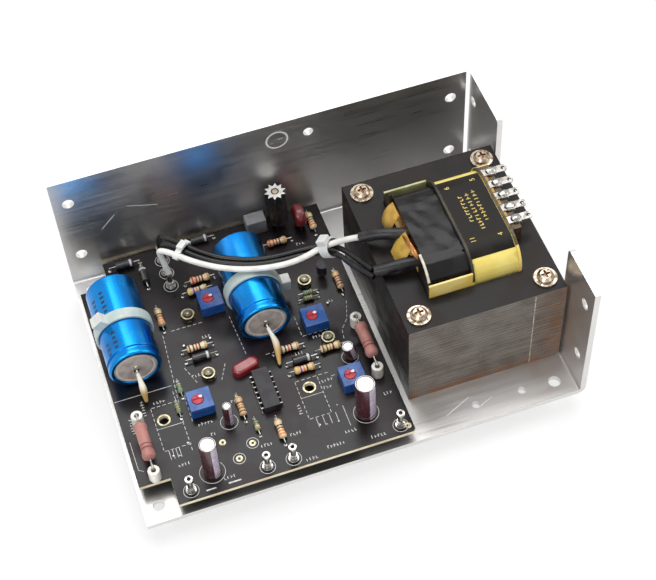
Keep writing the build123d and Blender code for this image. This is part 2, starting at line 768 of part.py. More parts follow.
lead_parts = []
sleeve_parts = []
for name, axis_x, front, strap_y, bend, end in big_spots:
    axis_point = Vector(*at(axis_x, front), big_axis_z)
    with BuildPart() as filter_capacitor:
        with Locations(Location(tuple(axis_point), (-90, 0, 0))):
            add(capacitor_body.part)
    finish(filter_capacitor, f"filter_capacitor_{name}")

    nub_face = axis_point + Vector(0, big_seal_depth / 2 - nub_height, 0)
    bend_point = Vector(*at(*bend[:2]), board_top + bend[2])
    foot = Vector(*at(*end), board_top + lead_foot_gap)
    wire_start = nub_face + Vector(0, nub_height / 2, 0)
    lead_parts.append(tube([wire_start, bend_point, foot], big_lead_bend, big_lead))
    with BuildPart() as weld_nub:
        with Locations(tuple(nub_face)):
            Box(nub, nub_height, nub, align=(Align.CENTER, Align.MIN, Align.CENTER))
    lead_parts.append(weld_nub.part)
    towards_bend = (bend_point - wire_start).normalized()
    up_from_foot = (bend_point - foot).normalized()
    sleeve_parts.append(tube([wire_start + towards_bend * sleeve_start_gap, bend_point,
                              foot + up_from_foot * sleeve_end_gap],
                             big_lead_bend, 2 * sleeve_radius, big_lead + 2 * sleeve_bore_gap))
    rear_face = axis_point + Vector(0, big_length, 0)
    rear_bend = rear_face + Vector(0, rear_lead_reach, 0)
    lead_parts.append(tube([rear_face, rear_bend, (rear_bend.X, rear_bend.Y, board_top)],
                           big_lead_bend, big_lead))
with BuildPart() as capacitor_leads:
    add(lead_parts)
finish(capacitor_leads, "capacitor_leads")
with BuildPart() as lead_sleeves:
    add(sleeve_parts)
finish(lead_sleeves, "lead_sleeves")


def strap_outline(plane, radius, drop):
    """Outline of a strap's outer or inner side: over the capacitor, then straight in under the board."""
    slope = math.radians(strap_slope)
    reach = strap_reach(radius, drop)
    shoulder = (radius * math.cos(slope), -radius * math.sin(slope))
    with BuildSketch(plane) as outline:
        with BuildLine():
            CenterArc((0, 0), radius, -strap_slope, 180 + 2 * strap_slope)
            Polyline((-shoulder[0], shoulder[1]), (-reach, -drop), (reach, -drop), shoulder)
        make_face()
    return outline.sketch


for (name, axis_x, front, strap_y, bend, end), head_angle in zip(big_spots, strap_head_angles):
    strap_plane = Plane(origin=(*at(axis_x, strap_y + strap_width / 2), big_axis_z), x_dir=(1, 0, 0),
                        z_dir=(0, -1, 0))
    outer = strap_outline(strap_plane, strap_outer, strap_depths[1] + strap_thickness)
    inner = strap_outline(strap_plane, strap_inner, strap_depths[1])
    head_middle = strap_outer + (strap_head_height - strap_thickness) / 2
    with BuildPart() as capacitor_tie:
        extrude(outer, amount=strap_width)
        with BuildSketch(strap_plane):
            with PolarLocations(head_middle, 1, start_angle=head_angle):
                Rectangle(strap_head_height, strap_head_width)
        extrude(amount=strap_width)
        extrude(inner, amount=strap_width, mode=Mode.SUBTRACT)
    finish(capacitor_tie, f"capacitor_tie_{name}")

# Trimmers: a square body with a rotor that turns in its bore
rotor_top = trimmer_stand + trimmer_height + rotor_thickness - rotor_recess
rotor_floor = rotor_top - rotor_thickness
for number, spot in enumerate(trimmer_spots, start=1):
    body_place = Vector(*at(*spot), board_top)
    rotor_place = body_place + Vector(-rotor_offset, 0, 0)
    with BuildPart() as trimmer_body:
        with BuildSketch(Plane.XY.offset(board_top + trimmer_stand)):
            with Locations(at(*spot)):
                Rectangle(trimmer_side, trimmer_side)
        extrude(amount=trimmer_height)
        with Locations(*[(body_place.X, body_place.Y + side * (trimmer_side - trimmer_foot) / 2, board_top)
                         for side in (-1, 1)]):
            Box(trimmer_side, trimmer_foot, trimmer_stand, align=(Align.CENTER, Align.CENTER, Align.MIN))
        with Locations(tuple(rotor_place + Vector(0, 0, rotor_floor - rotor_under))):
            Cylinder(rotor_radius + rotor_gap, trimmer_height, mode=Mode.SUBTRACT,
                     align=(Align.CENTER, Align.CENTER, Align.MIN))
            Cylinder(stem_radius + stem_gap, stem_length + rotor_under, mode=Mode.SUBTRACT,
                     align=(Align.CENTER, Align.CENTER, Align.MAX))
    finish(trimmer_body, f"trimmer_body_{number}")
    with BuildPart() as trimmer_rotor:
        with Locations(tuple(rotor_place + Vector(0, 0, rotor_floor))):
            Cylinder(rotor_radius, rotor_thickness, align=(Align.CENTER, Align.CENTER, Align.MIN))
            Cylinder(stem_radius, stem_length, align=(Align.CENTER, Align.CENTER, Align.MAX))
        with Locations(tuple(rotor_place + Vector(0, 0, rotor_top))):
            Box(2 * rotor_radius, slot_width, slot_depth, mode=Mode.SUBTRACT,
                align=(Align.CENTER, Align.CENTER, Align.MAX))
    finish(trimmer_rotor, f"trimmer_rotor_{number}")

# Turret terminals, swaged through the board
with BuildPart() as turret:
    revolve(turned(((turret_swage, -board_thickness - turret_swage_height, -board_thickness),
                    (turret_shank, -board_thickness, 0),
                    (turret_foot, 0, turret_foot_height),
                    (turret_neck, turret_foot_height, turret_height),
                    (turret_ring, *turret_collar),
                    (turret_ring, turret_height - turret_top_ring, turret_height))), axis=Axis.Z)
    with Locations((0, 0, turret_height)):
        Cylinder(turret_bore, turret_bore_depth, mode=Mode.SUBTRACT,
                 align=(Align.CENTER, Align.CENTER, Align.MAX))
with BuildPart() as terminal_posts:
    with Locations(*[(*at(*spot), board_top) for spot in turret_spots]):
        add(turret.part)
finish(terminal_posts, "terminal_posts")

# Small resistors and diodes
carbon = axial(((carbon_radius, -carbon_length / 2, carbon_length / 2),
                (carbon_cap_radius, -carbon_length / 2, -carbon_length / 2 + carbon_cap_length),
                (carbon_cap_radius, carbon_length / 2 - carbon_cap_length, carbon_length / 2)),
               carbon_pitch, carbon_cap_radius + small_lift)
green = axial(((green_radius, -green_length / 2, green_length / 2),
               (green_cap_radius, -green_length / 2, -green_length / 2 + green_cap_length),
               (green_cap_radius, green_length / 2 - green_cap_length, green_length / 2)),
              green_pitch, green_cap_radius + small_lift)
diode = axial(((diode_radius, -diode_length / 2, diode_length / 2),), diode_pitch, diode_radius + small_lift)
finish(spread(carbon, carbon_along_x, carbon_along_y, rear_carbon_along_x, rear_carbon_along_y),
       "carbon_resistors")
finish(spread(green, green_along_x, green_along_y), "green_resistors")
finish(spread(diode, diode_along_x, (), rear_diode_along_x, rear_diode_along_y), "diodes")

# Power resistors, held up by ceramic beads on their leads
power_lift = bead_height + power_lead
power_steps = ((power_radius, -power_length / 2, power_length / 2),
               (power_cap_radius, -power_length / 2, -power_length / 2 + power_cap_length),
               (power_cap_radius, power_length / 2 - power_cap_length, power_length / 2))
with BuildPart() as resistor_beads:
    with BuildSketch(Plane.XY.offset(board_top)):
        for name, x, front in power_spots:
            with Locations(at(x, front), at(x, front + power_pitch)):
                Circle(bead_radius)
                Circle(bead_bore, mode=Mode.SUBTRACT)
    extrude(amount=bead_height)
finish(resistor_beads, "resistor_beads")
for name, x, front in power_spots:
    foot = Vector(*at(x, front), board_top)
    rise = Vector(0, 0, power_lift)
    far = Vector(0, power_pitch, 0)
    middle_z = board_top + power_lift
    with BuildPart() as power_resistor:
        add(tube([foot, foot + rise, foot + rise + far, foot + far], power_lead, power_lead))
        body_plane = Plane(origin=tuple(foot + rise + far / 2), x_dir=(0, 0, 1), z_dir=(-1, 0, 0))
        revolve(turned(power_steps, body_plane), axis=Axis(tuple(foot + rise), (0, 1, 0)))
    finish(power_resistor, f"power_resistor_{name}")

# Standing capacitors
for number, (x, y, radius, tall, lean) in enumerate(can_capacitors, start=1):
    with BuildPart() as upright:
        groove_low, groove_high = can_capacitor_groove_span
        revolve(turned(((radius, 0, groove_low),
                        (radius - can_capacitor_groove, groove_low, groove_high),
                        (radius, groove_high, tall))), axis=Axis.Z)
        fillet(upright.edges().group_by(Axis.Z)[-1], can_capacitor_rim)
    lift = radius * math.sin(math.radians(lean))
    with BuildPart() as electrolytic:
        with Locations(Location((*at(x, y), board_top + lift), (0, -lean, 0))):
            add(upright.part)
    finish(electrolytic, f"electrolytic_{number}")

# Star cooler pressed over its transistor's can
star_step = math.pi / star_points
star_tips = [(radius * math.cos(star_step * step), radius * math.sin(star_step * step))
             for step, radius in enumerate((star_tip_radius, star_root_radius) * star_points)]
with BuildPart() as star_cooler:
    with BuildSketch(Plane.XY.offset(board_top + star_stand)):
        with BuildLine(Location(at(*star_spot))):
            Polyline(*star_tips, close=True)
        make_face()
    extrude(amount=star_height)
    with BuildSketch(Plane.XY.offset(board_top + star_stand)):
        with Locations(at(*star_spot)):
            Circle(driver_radius + driver_gap)
    extrude(amount=star_bore_depth, mode=Mode.SUBTRACT)
finish(star_cooler, "star_cooler")

driver_foot_z = star_stand - driver_foot_height
with BuildPart() as driver_transistor:
    with Locations((*at(*star_spot), board_top + driver_foot_z)):
        Cylinder(driver_foot_radius, driver_foot_height, align=(Align.CENTER, Align.CENTER, Align.MIN))
        Cylinder(driver_radius, driver_height, align=(Align.CENTER, Align.CENTER, Align.MIN))
        with PolarLocations(driver_radius / 2, 3):
            Cylinder(small_lead / 2, driver_foot_z, align=(Align.CENTER, Align.CENTER, Align.MAX))
finish(driver_transistor, "driver_transistor")

# Integrated circuit in a dual in-line case
with BuildPart() as regulator_chip:
    with Locations((*at(*chip_spot), board_top + chip_stand)):
        Box(*chip_size, align=(Align.CENTER, Align.CENTER, Align.MIN))
    with Locations((*at(*chip_spot), board_top)):
        with GridLocations(chip_span, chip_pin_pitch, 2, chip_pins):
            Box(chip_span - chip_size[0], small_lead, chip_stand + chip_size[2] / 2,
                align=(Align.CENTER, Align.CENTER, Align.MIN))
finish(regulator_chip, "regulator_chip")

# Dipped capacitor lying on its side, and disc capacitor standing
with BuildPart() as dipped_capacitor:
    with BuildSketch(Plane.XY.offset(board_top)):
        with Locations(Location((*at(*dipped_spot), 0), dipped_turn)):
            SlotOverall(dipped_size[0], dipped_size[1])
    extrude(amount=dipped_size[2])
    fillet(dipped_capacitor.edges().group_by(Axis.Z)[-1], dipped_edge)
finish(dipped_capacitor, "dipped_capacitor")

disc_middle = board_top + disc_stand + disc_radius
with BuildPart() as standing_capacitor:
    with BuildSketch(Plane(origin=(*at(*disc_spot), disc_middle), x_dir=(0, 1, 0), z_dir=(1, 0, 0))):
        Circle(disc_radius)
    extrude(amount=disc_thickness / 2, both=True)
    fillet(standing_capacitor.edges().filter_by(GeomType.CIRCLE), disc_edge)
    with Locations(*[(*at(disc_x, disc_spot[1] + side * disc_radius / 2), board_top) for side in (-1, 1)]):
        Cylinder(small_lead / 2, disc_radius, align=(Align.CENTER, Align.CENTER, Align.MIN))
finish(standing_capacitor, "standing_capacitor")

# Film capacitor and plain transistor
with BuildPart() as film_capacitor:
    with Locations((*at(*film_spot), board_top)):
        Box(*film_size, align=(Align.CENTER, Align.CENTER, Align.MIN))
    fillet(film_capacitor.edges().filter_by(Axis.Z), film_edge)
finish(film_capacitor, "film_capacitor")

with BuildPart() as small_transistor:
    with BuildSketch(Plane.XY.offset(board_top + plain_transistor_stand)):
        with Locations(at(*plain_transistor_spot)):
            Circle(plain_transistor_radius)
            with Locations((plain_transistor_radius, 0)):
                Rectangle(plain_transistor_radius, 2 * plain_transistor_radius, mode=Mode.SUBTRACT)
    extrude(amount=plain_transistor_height)
    with Locations(*[(*at(plain_transistor_spot[0], plain_transistor_spot[1] + step), board_top)
                     for step in (-plain_transistor_pin_pitch, 0, plain_transistor_pin_pitch)]):
        Cylinder(small_lead / 2, plain_transistor_stand, align=(Align.CENTER, Align.CENTER, Align.MIN))
finish(small_transistor, "small_transistor")

# Leads, the sleeves that they come out of and the ties that hold them
with BuildPart() as winding_sleeves:
    for route in sleeve_routes:
        points = [raised(*point) for point in route]
        add(tube(points, cord_radii(points), winding_sleeve))
finish(winding_sleeves, "winding_sleeves")

for name, route, diameter in (("white_lead", white_route, white_lead_diameter),
                              ("black_lead_lower", lower_route, black_lead_diameter),
                              ("black_lead_upper", upper_route, black_lead_diameter)):
    points = [raised(*point) for point in route]
    radii = cord_radii(points)
    print(name, "arc radii", [round(radius, 1) for radius in radii])
    with BuildPart() as lead:
        add(tube(points, radii, diameter))
    finish(lead, name)

for name, place, along, inner in (("lead_tie", lead_tie_place, lead_tie_along, lead_tie_inner),
                                  ("bundle_tie", bundle_tie_place, bundle_tie_along, bundle_tie_inner)):
    across = Vector(*along).cross(Vector(0, 0, 1)).normalized()
    with BuildPart() as tie:
        with BuildSketch(Plane(origin=raised(*place), x_dir=across, z_dir=along)):
            RectangleRounded(inner[0] + 2 * tie_thickness, inner[1] + 2 * tie_thickness,
                             inner[1] / 2 + tie_thickness - tie_corner_slack)
            with Locations((0, -(inner[1] + tie_head[1]) / 2)):
                Rectangle(*tie_head)
            RectangleRounded(inner[0], inner[1], inner[1] / 2 - tie_corner_slack, mode=Mode.SUBTRACT)
        extrude(amount=tie_width / 2, both=True)
    finish(tie, name)
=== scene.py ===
"""Looks of an open-frame linear power supply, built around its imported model."""

import logging
import math
import random
from dataclasses import dataclass
from enum import Enum
from typing import Callable, Sequence, Union

import bmesh
import bpy
from mathutils import Matrix, Vector, noise


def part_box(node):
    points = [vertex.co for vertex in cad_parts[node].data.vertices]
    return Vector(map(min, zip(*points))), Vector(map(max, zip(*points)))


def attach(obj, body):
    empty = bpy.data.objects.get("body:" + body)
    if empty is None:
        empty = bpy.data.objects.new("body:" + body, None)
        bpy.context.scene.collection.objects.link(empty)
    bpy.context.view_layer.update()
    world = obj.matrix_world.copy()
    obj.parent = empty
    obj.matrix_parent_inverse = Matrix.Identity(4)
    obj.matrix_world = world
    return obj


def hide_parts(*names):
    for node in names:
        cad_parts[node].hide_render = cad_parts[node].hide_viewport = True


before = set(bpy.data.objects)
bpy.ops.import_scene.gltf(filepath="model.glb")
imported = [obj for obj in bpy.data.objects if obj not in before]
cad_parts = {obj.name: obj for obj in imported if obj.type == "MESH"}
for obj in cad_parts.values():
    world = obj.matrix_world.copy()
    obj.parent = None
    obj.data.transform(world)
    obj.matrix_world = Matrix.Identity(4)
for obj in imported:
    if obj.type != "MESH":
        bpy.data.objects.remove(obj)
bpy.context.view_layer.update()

Color = tuple[float, float, float]
Point = tuple[float, float, float]
Spot = tuple[float, float]
Line = tuple[Spot, Spot]
Ground = tuple[bpy.types.NodeSocket, bpy.types.Node, bpy.types.NodeSocket]

MM = 0.001
MERGE = 1e-6
FLAT = math.radians(0.4)
FULL_TURN = 2 * math.pi
SUPPLY = "supply"
UPRIGHT = Matrix.Rotation(-math.pi / 2, 4, "Y")
log = logging.getLogger("power_supply")


class Effect(Enum):
    """Surface effects that several finishes share."""

    SMUDGE = "smudge"
    GRAIN = "grain"
    STROKE = "stroke"
    RING = "ring"


class NodeTree:
    """Adds and links the nodes of a material or of a node group."""

    def __init__(self, tree: bpy.types.NodeTree) -> None:
        """Keep the tree that the nodes go into."""
        self.tree = tree

    def node(self, kind: str, inputs: dict | None = None, **settings: object) -> bpy.types.Node:
        """Add a node.

        Args:
            kind: The node's type, without the ShaderNode in front.
            inputs: Values or sockets for its inputs, by name or number.
            settings: The node's own settings.

        Returns:
            The new node.
        """
        made = self.tree.nodes.new("ShaderNode" + kind)
        for key, value in settings.items():
            setattr(made, key, value)
        for key, value in (inputs or {}).items():
            self.feed(made.inputs[key], value)
        return made

    def feed(self, socket: bpy.types.NodeSocket, value: object) -> None:
        """Link a socket into an input, or set the input's own value.

        Args:
            socket: The input.
            value: A socket, a number, a colour or a point.
        """
        if isinstance(value, bpy.types.NodeSocket):
            self.tree.links.new(value, socket)
        elif isinstance(value, tuple) and socket.type == "RGBA":
            socket.default_value = (*value, 1.0)
        else:
            socket.default_value = value

    def math(self, operation: str, *values: object) -> bpy.types.NodeSocket:
        """Return the result of a Math node over these values."""
        return self.node("Math", dict(enumerate(values)), operation=operation).outputs[0]

    def vector(self, operation: str, *values: object, output: str = "Vector") -> bpy.types.NodeSocket:
        """Return the result of a Vector Math node over these values."""
        return self.node("VectorMath", dict(enumerate(values)), operation=operation).outputs[output]

    def ramp(self, value: object, low: object, high: object, start: float = 0.0,
             end: float = 1.0) -> bpy.types.NodeSocket:
        """Return value mapped smoothly from low..high to start..end and held at both ends."""
        inputs = {"Value": value, "From Min": low, "From Max": high, "To Min": start, "To Max": end}
        return self.node("MapRange", inputs, interpolation_type="SMOOTHSTEP").outputs["Result"]

    def mix(self, mask: object, first: object, second: object) -> bpy.types.NodeSocket:
        """Return the first colour where the mask is 0 and the second where it is 1.

        Args:
            mask: The mask.
            first: A colour or a socket.
            second: A colour or a socket.

        Returns:
            The mixed colour.
        """
        made = self.node("Mix", data_type="RGBA")
        self.feed(made.inputs["Factor"], mask)
        colors = [socket for socket in made.inputs if socket.type == "RGBA"]
        self.feed(colors[0], first)
        self.feed(colors[1], second)
        return next(socket for socket in made.outputs if socket.type == "RGBA")


class EffectGroup(NodeTree):
    """A shader node group with named inputs and outputs, built on its first use."""

    def __init__(self, effect: Effect) -> None:
        """Start an empty group for this effect."""
        super().__init__(bpy.data.node_groups.new(effect.value, "ShaderNodeTree"))
        self.given: dict[str, bpy.types.NodeSocket] = {}

    def inputs(self, **kinds: str) -> None:
        """Make the group's inputs: a name for each and its kind of socket.

        Args:
            kinds: The kind of socket under each name.
        """
        for name, kind in kinds.items():
            self.tree.interface.new_socket(name, in_out="INPUT", socket_type="NodeSocket" + kind)
        source = self.tree.nodes.new("NodeGroupInput")
        self.given = {name: source.outputs[name] for name in kinds}

    def output(self, **values: bpy.types.NodeSocket) -> None:
        """Make the group's outputs, each fed by a socket.

        Args:
            values: The socket under each name.
        """
        for name, value in values.items():
            kind = "NodeSocketVector" if value.type == "VECTOR" else "NodeSocketFloat"
            self.tree.interface.new_socket(name, in_out="OUTPUT", socket_type=kind)
        sink = self.tree.nodes.new("NodeGroupOutput")
        for name, value in values.items():
            self.tree.links.new(value, sink.inputs[name])

    def noise(self, scale: object, vector: object, detail: float = 4.0) -> bpy.types.NodeSocket:
        """Return a noise value at this scale."""
        return self.node("TexNoise", {"Vector": vector, "Scale": scale, "Detail": detail}).outputs[0]

    def smudge(self) -> None:
        """Cloudy patches: a mask between two levels of a noise."""
        self.inputs(Vector="Vector", Scale="Float", Low="Float", High="Float")
        cloud = self.noise(self.given["Scale"], self.given["Vector"])
        self.output(Mask=self.ramp(cloud, self.given["Low"], self.given["High"]))

    def grain(self) -> None:
        """Fine grain, drawn out along an axis where it is stretched, as a value and a normal."""
        self.inputs(Vector="Vector", Stretch="Vector", Scale="Float", Strength="Float")
        drawn = self.vector("MULTIPLY", self.given["Vector"], self.given["Stretch"])
        cloud = self.noise(self.given["Scale"], drawn, 3.0)
        bump = self.node("Bump", {"Height": cloud, "Strength": self.given["Strength"], "Distance": 0.1 * MM})
        self.output(Value=cloud, Normal=bump.outputs["Normal"])

    def stroke(self) -> None:
        """A straight scratch or pen line between two points, as a mask."""
        self.inputs(Vector="Vector", Start="Vector", End="Vector", Width="Float")
        span = self.vector("SUBTRACT", self.given["End"], self.given["Start"])
        reach = self.vector("SUBTRACT", self.given["Vector"], self.given["Start"])
        along = self.math("DIVIDE", self.vector("DOT_PRODUCT", reach, span, output="Value"),
                          self.vector("DOT_PRODUCT", span, span, output="Value"))
        held = self.math("MINIMUM", self.math("MAXIMUM", along, 0.0), 1.0)
        scaled = self.node("VectorMath", {0: span, "Scale": held}, operation="SCALE").outputs["Vector"]
        gap = self.vector("LENGTH", self.vector("SUBTRACT", reach, scaled), output="Value")
        self.output(Mask=self.ramp(gap, self.given["Width"], 0.0))

    def ring(self) -> None:
        """A drawn ring round a point, as a mask."""
        self.inputs(Vector="Vector", Centre="Vector", Radius="Float", Width="Float")
        offset = self.vector("SUBTRACT", self.given["Vector"], self.given["Centre"])
        gap = self.math("ABSOLUTE", self.math("SUBTRACT", self.vector("LENGTH", offset, output="Value"),
                                              self.given["Radius"]))
        self.output(Mask=self.ramp(gap, self.given["Width"], 0.0))


class Shader(NodeTree):
    """A material's node tree round one Principled shader."""

    def __init__(self, name: str) -> None:
        """Start a material of this name.

        Args:
            name: The material's name.
        """
        self.material = bpy.data.materials.new(name)
        self.material.use_nodes = True
        super().__init__(self.material.node_tree)
        self.principled = self.tree.nodes["Principled BSDF"]
        self.place = self.node("TexCoord").outputs["Object"]

    def set(self, **values: object) -> None:
        """Set or link sockets of the shader, named with _ for each space."""
        for name, value in values.items():
            self.feed(self.principled.inputs[name.replace("_", " ")], value)

    def effect(self, effect: Effect, inputs: dict) -> bpy.types.Node:
        """Place the node group of an effect, on object coordinates, with these inputs.

        Args:
            effect: The effect.
            inputs: Values or sockets by name.

        Returns:
            The node that holds the group.
        """
        if effect.value not in bpy.data.node_groups:
            getattr(EffectGroup(effect), effect.value)()
        made = self.tree.nodes.new("ShaderNodeGroup")
        made.node_tree = bpy.data.node_groups[effect.value]
        for name, value in {"Vector": self.place, **inputs}.items():
            self.feed(made.inputs[name], value)
        return made

    def smudge(self, scale: float, low: float = 0.4, high: float = 0.65) -> bpy.types.NodeSocket:
        """Return the mask of cloudy patches, at a scale per metre."""
        return self.effect(Effect.SMUDGE, {"Scale": scale, "Low": low, "High": high}).outputs["Mask"]

    def grain(self, scale: float, strength: float, stretch: Point = (1.0, 1.0, 1.0)) -> bpy.types.Node:
        """Place the grain effect."""
        return self.effect(Effect.GRAIN, {"Scale": scale, "Strength": strength, "Stretch": stretch})


@dataclass(frozen=True)
class Finish:
    """A surface finish that drifts between two colours under a fine grain."""

    name: str
    color: Color
    drift: Color
    roughness: float = 0.4
    rougher: float = 0.15
    metallic: float = 0.0
    coat: float = 0.0
    specular: float = 0.5
    subsurface: float = 0.0
    patch_scale: float = 160.0
    grain_scale: float = 1500.0
    grain_strength: float = 0.15
    stretch: Point = (1.0, 1.0, 1.0)

    def material(self) -> bpy.types.Material:
        """Return this finish's material, made on its first use.

        Returns:
            The material.
        """
        name = "finish_" + self.name
        found = bpy.data.materials.get(name)
        if found:
            return found
        shader = Shader(name)
        shader.set(Metallic=self.metallic, Coat_Weight=self.coat, Coat_Roughness=0.12,
                   Specular_IOR_Level=self.specular)
        if self.subsurface:
            shader.set(Subsurface_Weight=self.subsurface, Subsurface_Scale=1.5 * MM)
        self.paint(shader)
        return shader.material

    def paint(self, shader: Shader) -> None:
        """Drive the shader's colour, roughness and normal.

        Args:
            shader: The material's shader.
        """
        patch, grain, color = self.ground(shader)
        shader.set(Base_Color=color, Normal=grain.outputs["Normal"], Roughness=self.rough(shader, patch))

    def ground(self, shader: Shader, low: float = 0.4, high: float = 0.65) -> Ground:
        """Lay the cloudy patches and the grain.

        Args:
            shader: The material's shader.
            low: The noise's level at which a patch starts.
            high: The level at which it is full.

        Returns:
            The mask of the patches, the grain's node and the colour that drifts with the patches.
        """
        patch = shader.smudge(self.patch_scale, low, high)
        grain = shader.grain(self.grain_scale, self.grain_strength, self.stretch)
        return patch, grain, shader.mix(patch, self.color, self.drift)

    def rough(self, shader: Shader, patch: bpy.types.NodeSocket) -> bpy.types.NodeSocket:
        """Return the roughness, which rises in the patches."""
        return shader.ramp(patch, 0.0, 1.0, self.roughness, self.roughness + self.rougher)


@dataclass(frozen=True)
class SheetMetal(Finish):
    """Rolled aluminium sheet with a drawn grain, smudges, scratches and a pen ring on its back wall."""

    scratches: tuple[tuple[Point, Point], ...] = ()
    scratch_width: float = 0.28 * MM
    ring_centre: Point = (0.0, 0.0, 0.0)
    ring_radius: float = 4.4 * MM
    ring_width: float = 0.6 * MM
    mark_color: Color = (0.95, 0.95, 0.94)
    spot_color: Color = (0.40, 0.39, 0.38)
    spot_share: float = 0.08
    streak_color: Color = (0.50, 0.49, 0.48)
    streak_share: float = 0.05

    def paint(self, shader: Shader) -> None:
        """Add the marks over the grain.

        Args:
            shader: The material's shader.
        """
        patch, grain, color = self.ground(shader, 0.35, 0.7)
        spots = shader.smudge(9 * self.patch_scale, 0.62, 0.72)
        color = shader.mix(shader.math("MULTIPLY", spots, self.spot_share), color, self.spot_color)
        streaks = shader.ramp(grain.outputs["Value"], 0.35, 0.65, self.streak_share, 0.0)
        color = shader.mix(streaks, color, self.streak_color)
        ring = shader.effect(Effect.RING, {"Centre": self.ring_centre, "Radius": self.ring_radius,
                                           "Width": self.ring_width})
        marks = ring.outputs["Mask"]
        for start, end in self.scratches:
            line = shader.effect(Effect.STROKE, {"Start": start, "End": end, "Width": self.scratch_width})
            marks = shader.math("MAXIMUM", marks, shader.math("MULTIPLY", line.outputs["Mask"], 0.85))
        rough = shader.math("ADD", shader.ramp(grain.outputs["Value"], 0.3, 0.7, -0.05, 0.05),
                            self.rough(shader, patch))
        shader.set(Base_Color=shader.mix(marks, color, self.mark_color), Normal=grain.outputs["Normal"],
                   Metallic=shader.math("SUBTRACT", self.metallic, marks),
                   Roughness=shader.math("ADD", rough, shader.math("MULTIPLY", marks, 0.3)))


@dataclass(frozen=True)
class Lamination(Finish):
    """Cut edges of varnished laminations, going to rust towards one end."""

    rust: Color = (0.20, 0.09, 0.04)
    rust_from: float = 0.070
    rust_to: float = 0.089
    rust_low: float = 0.020

    def paint(self, shader: Shader) -> None:
        """Mix brown-grey steel with dark varnish lines and rust at the right and bottom.

        Args:
            shader: The material's shader.
        """
        patch, lines, color = self.ground(shader, 0.35, 0.7)
        dark = shader.ramp(lines.outputs["Value"], 0.42, 0.62, 0.0, 0.32)
        color = shader.mix(dark, color, (0.035, 0.027, 0.022))
        spot = shader.node("SeparateXYZ", {0: shader.place})
        right = shader.ramp(spot.outputs["X"], self.rust_from, self.rust_to)
        low = shader.ramp(spot.outputs["Z"], self.rust_low, self.rust_low - 8 * MM)
        rust = shader.math("MULTIPLY", shader.math("MAXIMUM", right, low), shader.smudge(260.0, 0.3, 0.6))
        shader.set(Base_Color=shader.mix(rust, color, self.rust), Normal=lines.outputs["Normal"],
                   Roughness=self.rough(shader, patch))


@dataclass(frozen=True)
class Fading(Finish):
    """A sleeve that goes from pale at its top to tan at its foot."""

    foot: Color = (0.62, 0.40, 0.14)
    pale_from: float = 29.5 * MM
    tan_from: float = 25.0 * MM

    def paint(self, shader: Shader) -> None:
        """Mix the tan in below the bend.

        Args:
            shader: The material's shader.
        """
        patch, grain, color = self.ground(shader)
        height = shader.node("SeparateXYZ", {0: shader.place}).outputs["Z"]
        tan = shader.ramp(height, self.pale_from, self.tan_from)
        shader.set(Base_Color=shader.mix(tan, color, self.foot), Normal=grain.outputs["Normal"],
                   Roughness=self.rough(shader, patch))


class Band(Enum):
    """Colours of the bands on a resistor."""

    BLACK = (0.02, 0.015, 0.015)
    BROWN = (0.16, 0.05, 0.02)
    RED = (0.55, 0.05, 0.02)
    ORANGE = (0.80, 0.22, 0.04)
    YELLOW = (0.80, 0.55, 0.08)
    GREEN = (0.06, 0.20, 0.06)
    BLUE = (0.04, 0.10, 0.45)
    VIOLET = (0.22, 0.06, 0.35)
    WHITE = (0.80, 0.78, 0.72)
    GOLD = (0.55, 0.36, 0.10)

    def finish(self) -> Finish:
        """Return the paint of this band."""
        shade = tuple(0.8 * part for part in self.value)
        return Finish("band_" + self.name.lower(), self.value, shade, roughness=0.3, coat=0.3)


RING_MARK = (4.1 * MM, 59.55 * MM, 64.1 * MM)
SHEET = SheetMetal("sheet_aluminium", (0.76, 0.75, 0.73), (0.66, 0.65, 0.64), roughness=0.32, rougher=0.12,
                   metallic=1.0, patch_scale=28.0, grain_scale=1700.0, grain_strength=0.05,
                   stretch=(0.02, 1.0, 1.0), ring_centre=RING_MARK,
                   scratches=(((0.0335, -0.0550, 0.0122), (0.0445, -0.0500, 0.0122)),
                              ((0.0460, -0.0560, 0.0122), (0.0530, -0.0530, 0.0122)),
                              ((-0.072, 0.0595, 0.0405), (-0.066, 0.0595, 0.0470)),
                              ((-0.060, 0.0595, 0.0500), (-0.048, 0.0595, 0.0460)),
                              ((0.0045, 0.0595, 0.0641), (0.0066, 0.0595, 0.0646)),
                              ((0.0018, 0.0595, 0.0628), (0.0022, 0.0595, 0.0629))))
MASK = Finish("board_mask", (0.005, 0.004, 0.0045), (0.017, 0.010, 0.012), roughness=0.24, rougher=0.14,
              specular=0.3, patch_scale=55.0, grain_scale=900.0, grain_strength=0.1)
LAMINATE = Finish("board_edge", (0.80, 0.72, 0.50), (0.62, 0.52, 0.34), roughness=0.5)
PRINT = Finish("board_print", (0.72, 0.72, 0.68), (0.52, 0.52, 0.50), roughness=0.5, patch_scale=900.0)
# Solder of the joints, lugs and posts. The same finish paints the highlight drop on each transistor screw's
# end.
SOLDER_AND_HIGHLIGHT = Finish("solder", (0.52, 0.51, 0.48), (0.22, 0.21, 0.20), roughness=0.16, rougher=0.2, metallic=1.0,
                patch_scale=700.0, grain_scale=900.0, grain_strength=0.5)
TINNED = Finish("tinned_metal", (0.46, 0.44, 0.41), (0.20, 0.19, 0.17), roughness=0.22, rougher=0.2,
                metallic=1.0, patch_scale=500.0)
ZINC = Finish("zinc_plate", (0.66, 0.63, 0.52), (0.50, 0.46, 0.36), roughness=0.28, metallic=1.0,
              patch_scale=300.0)
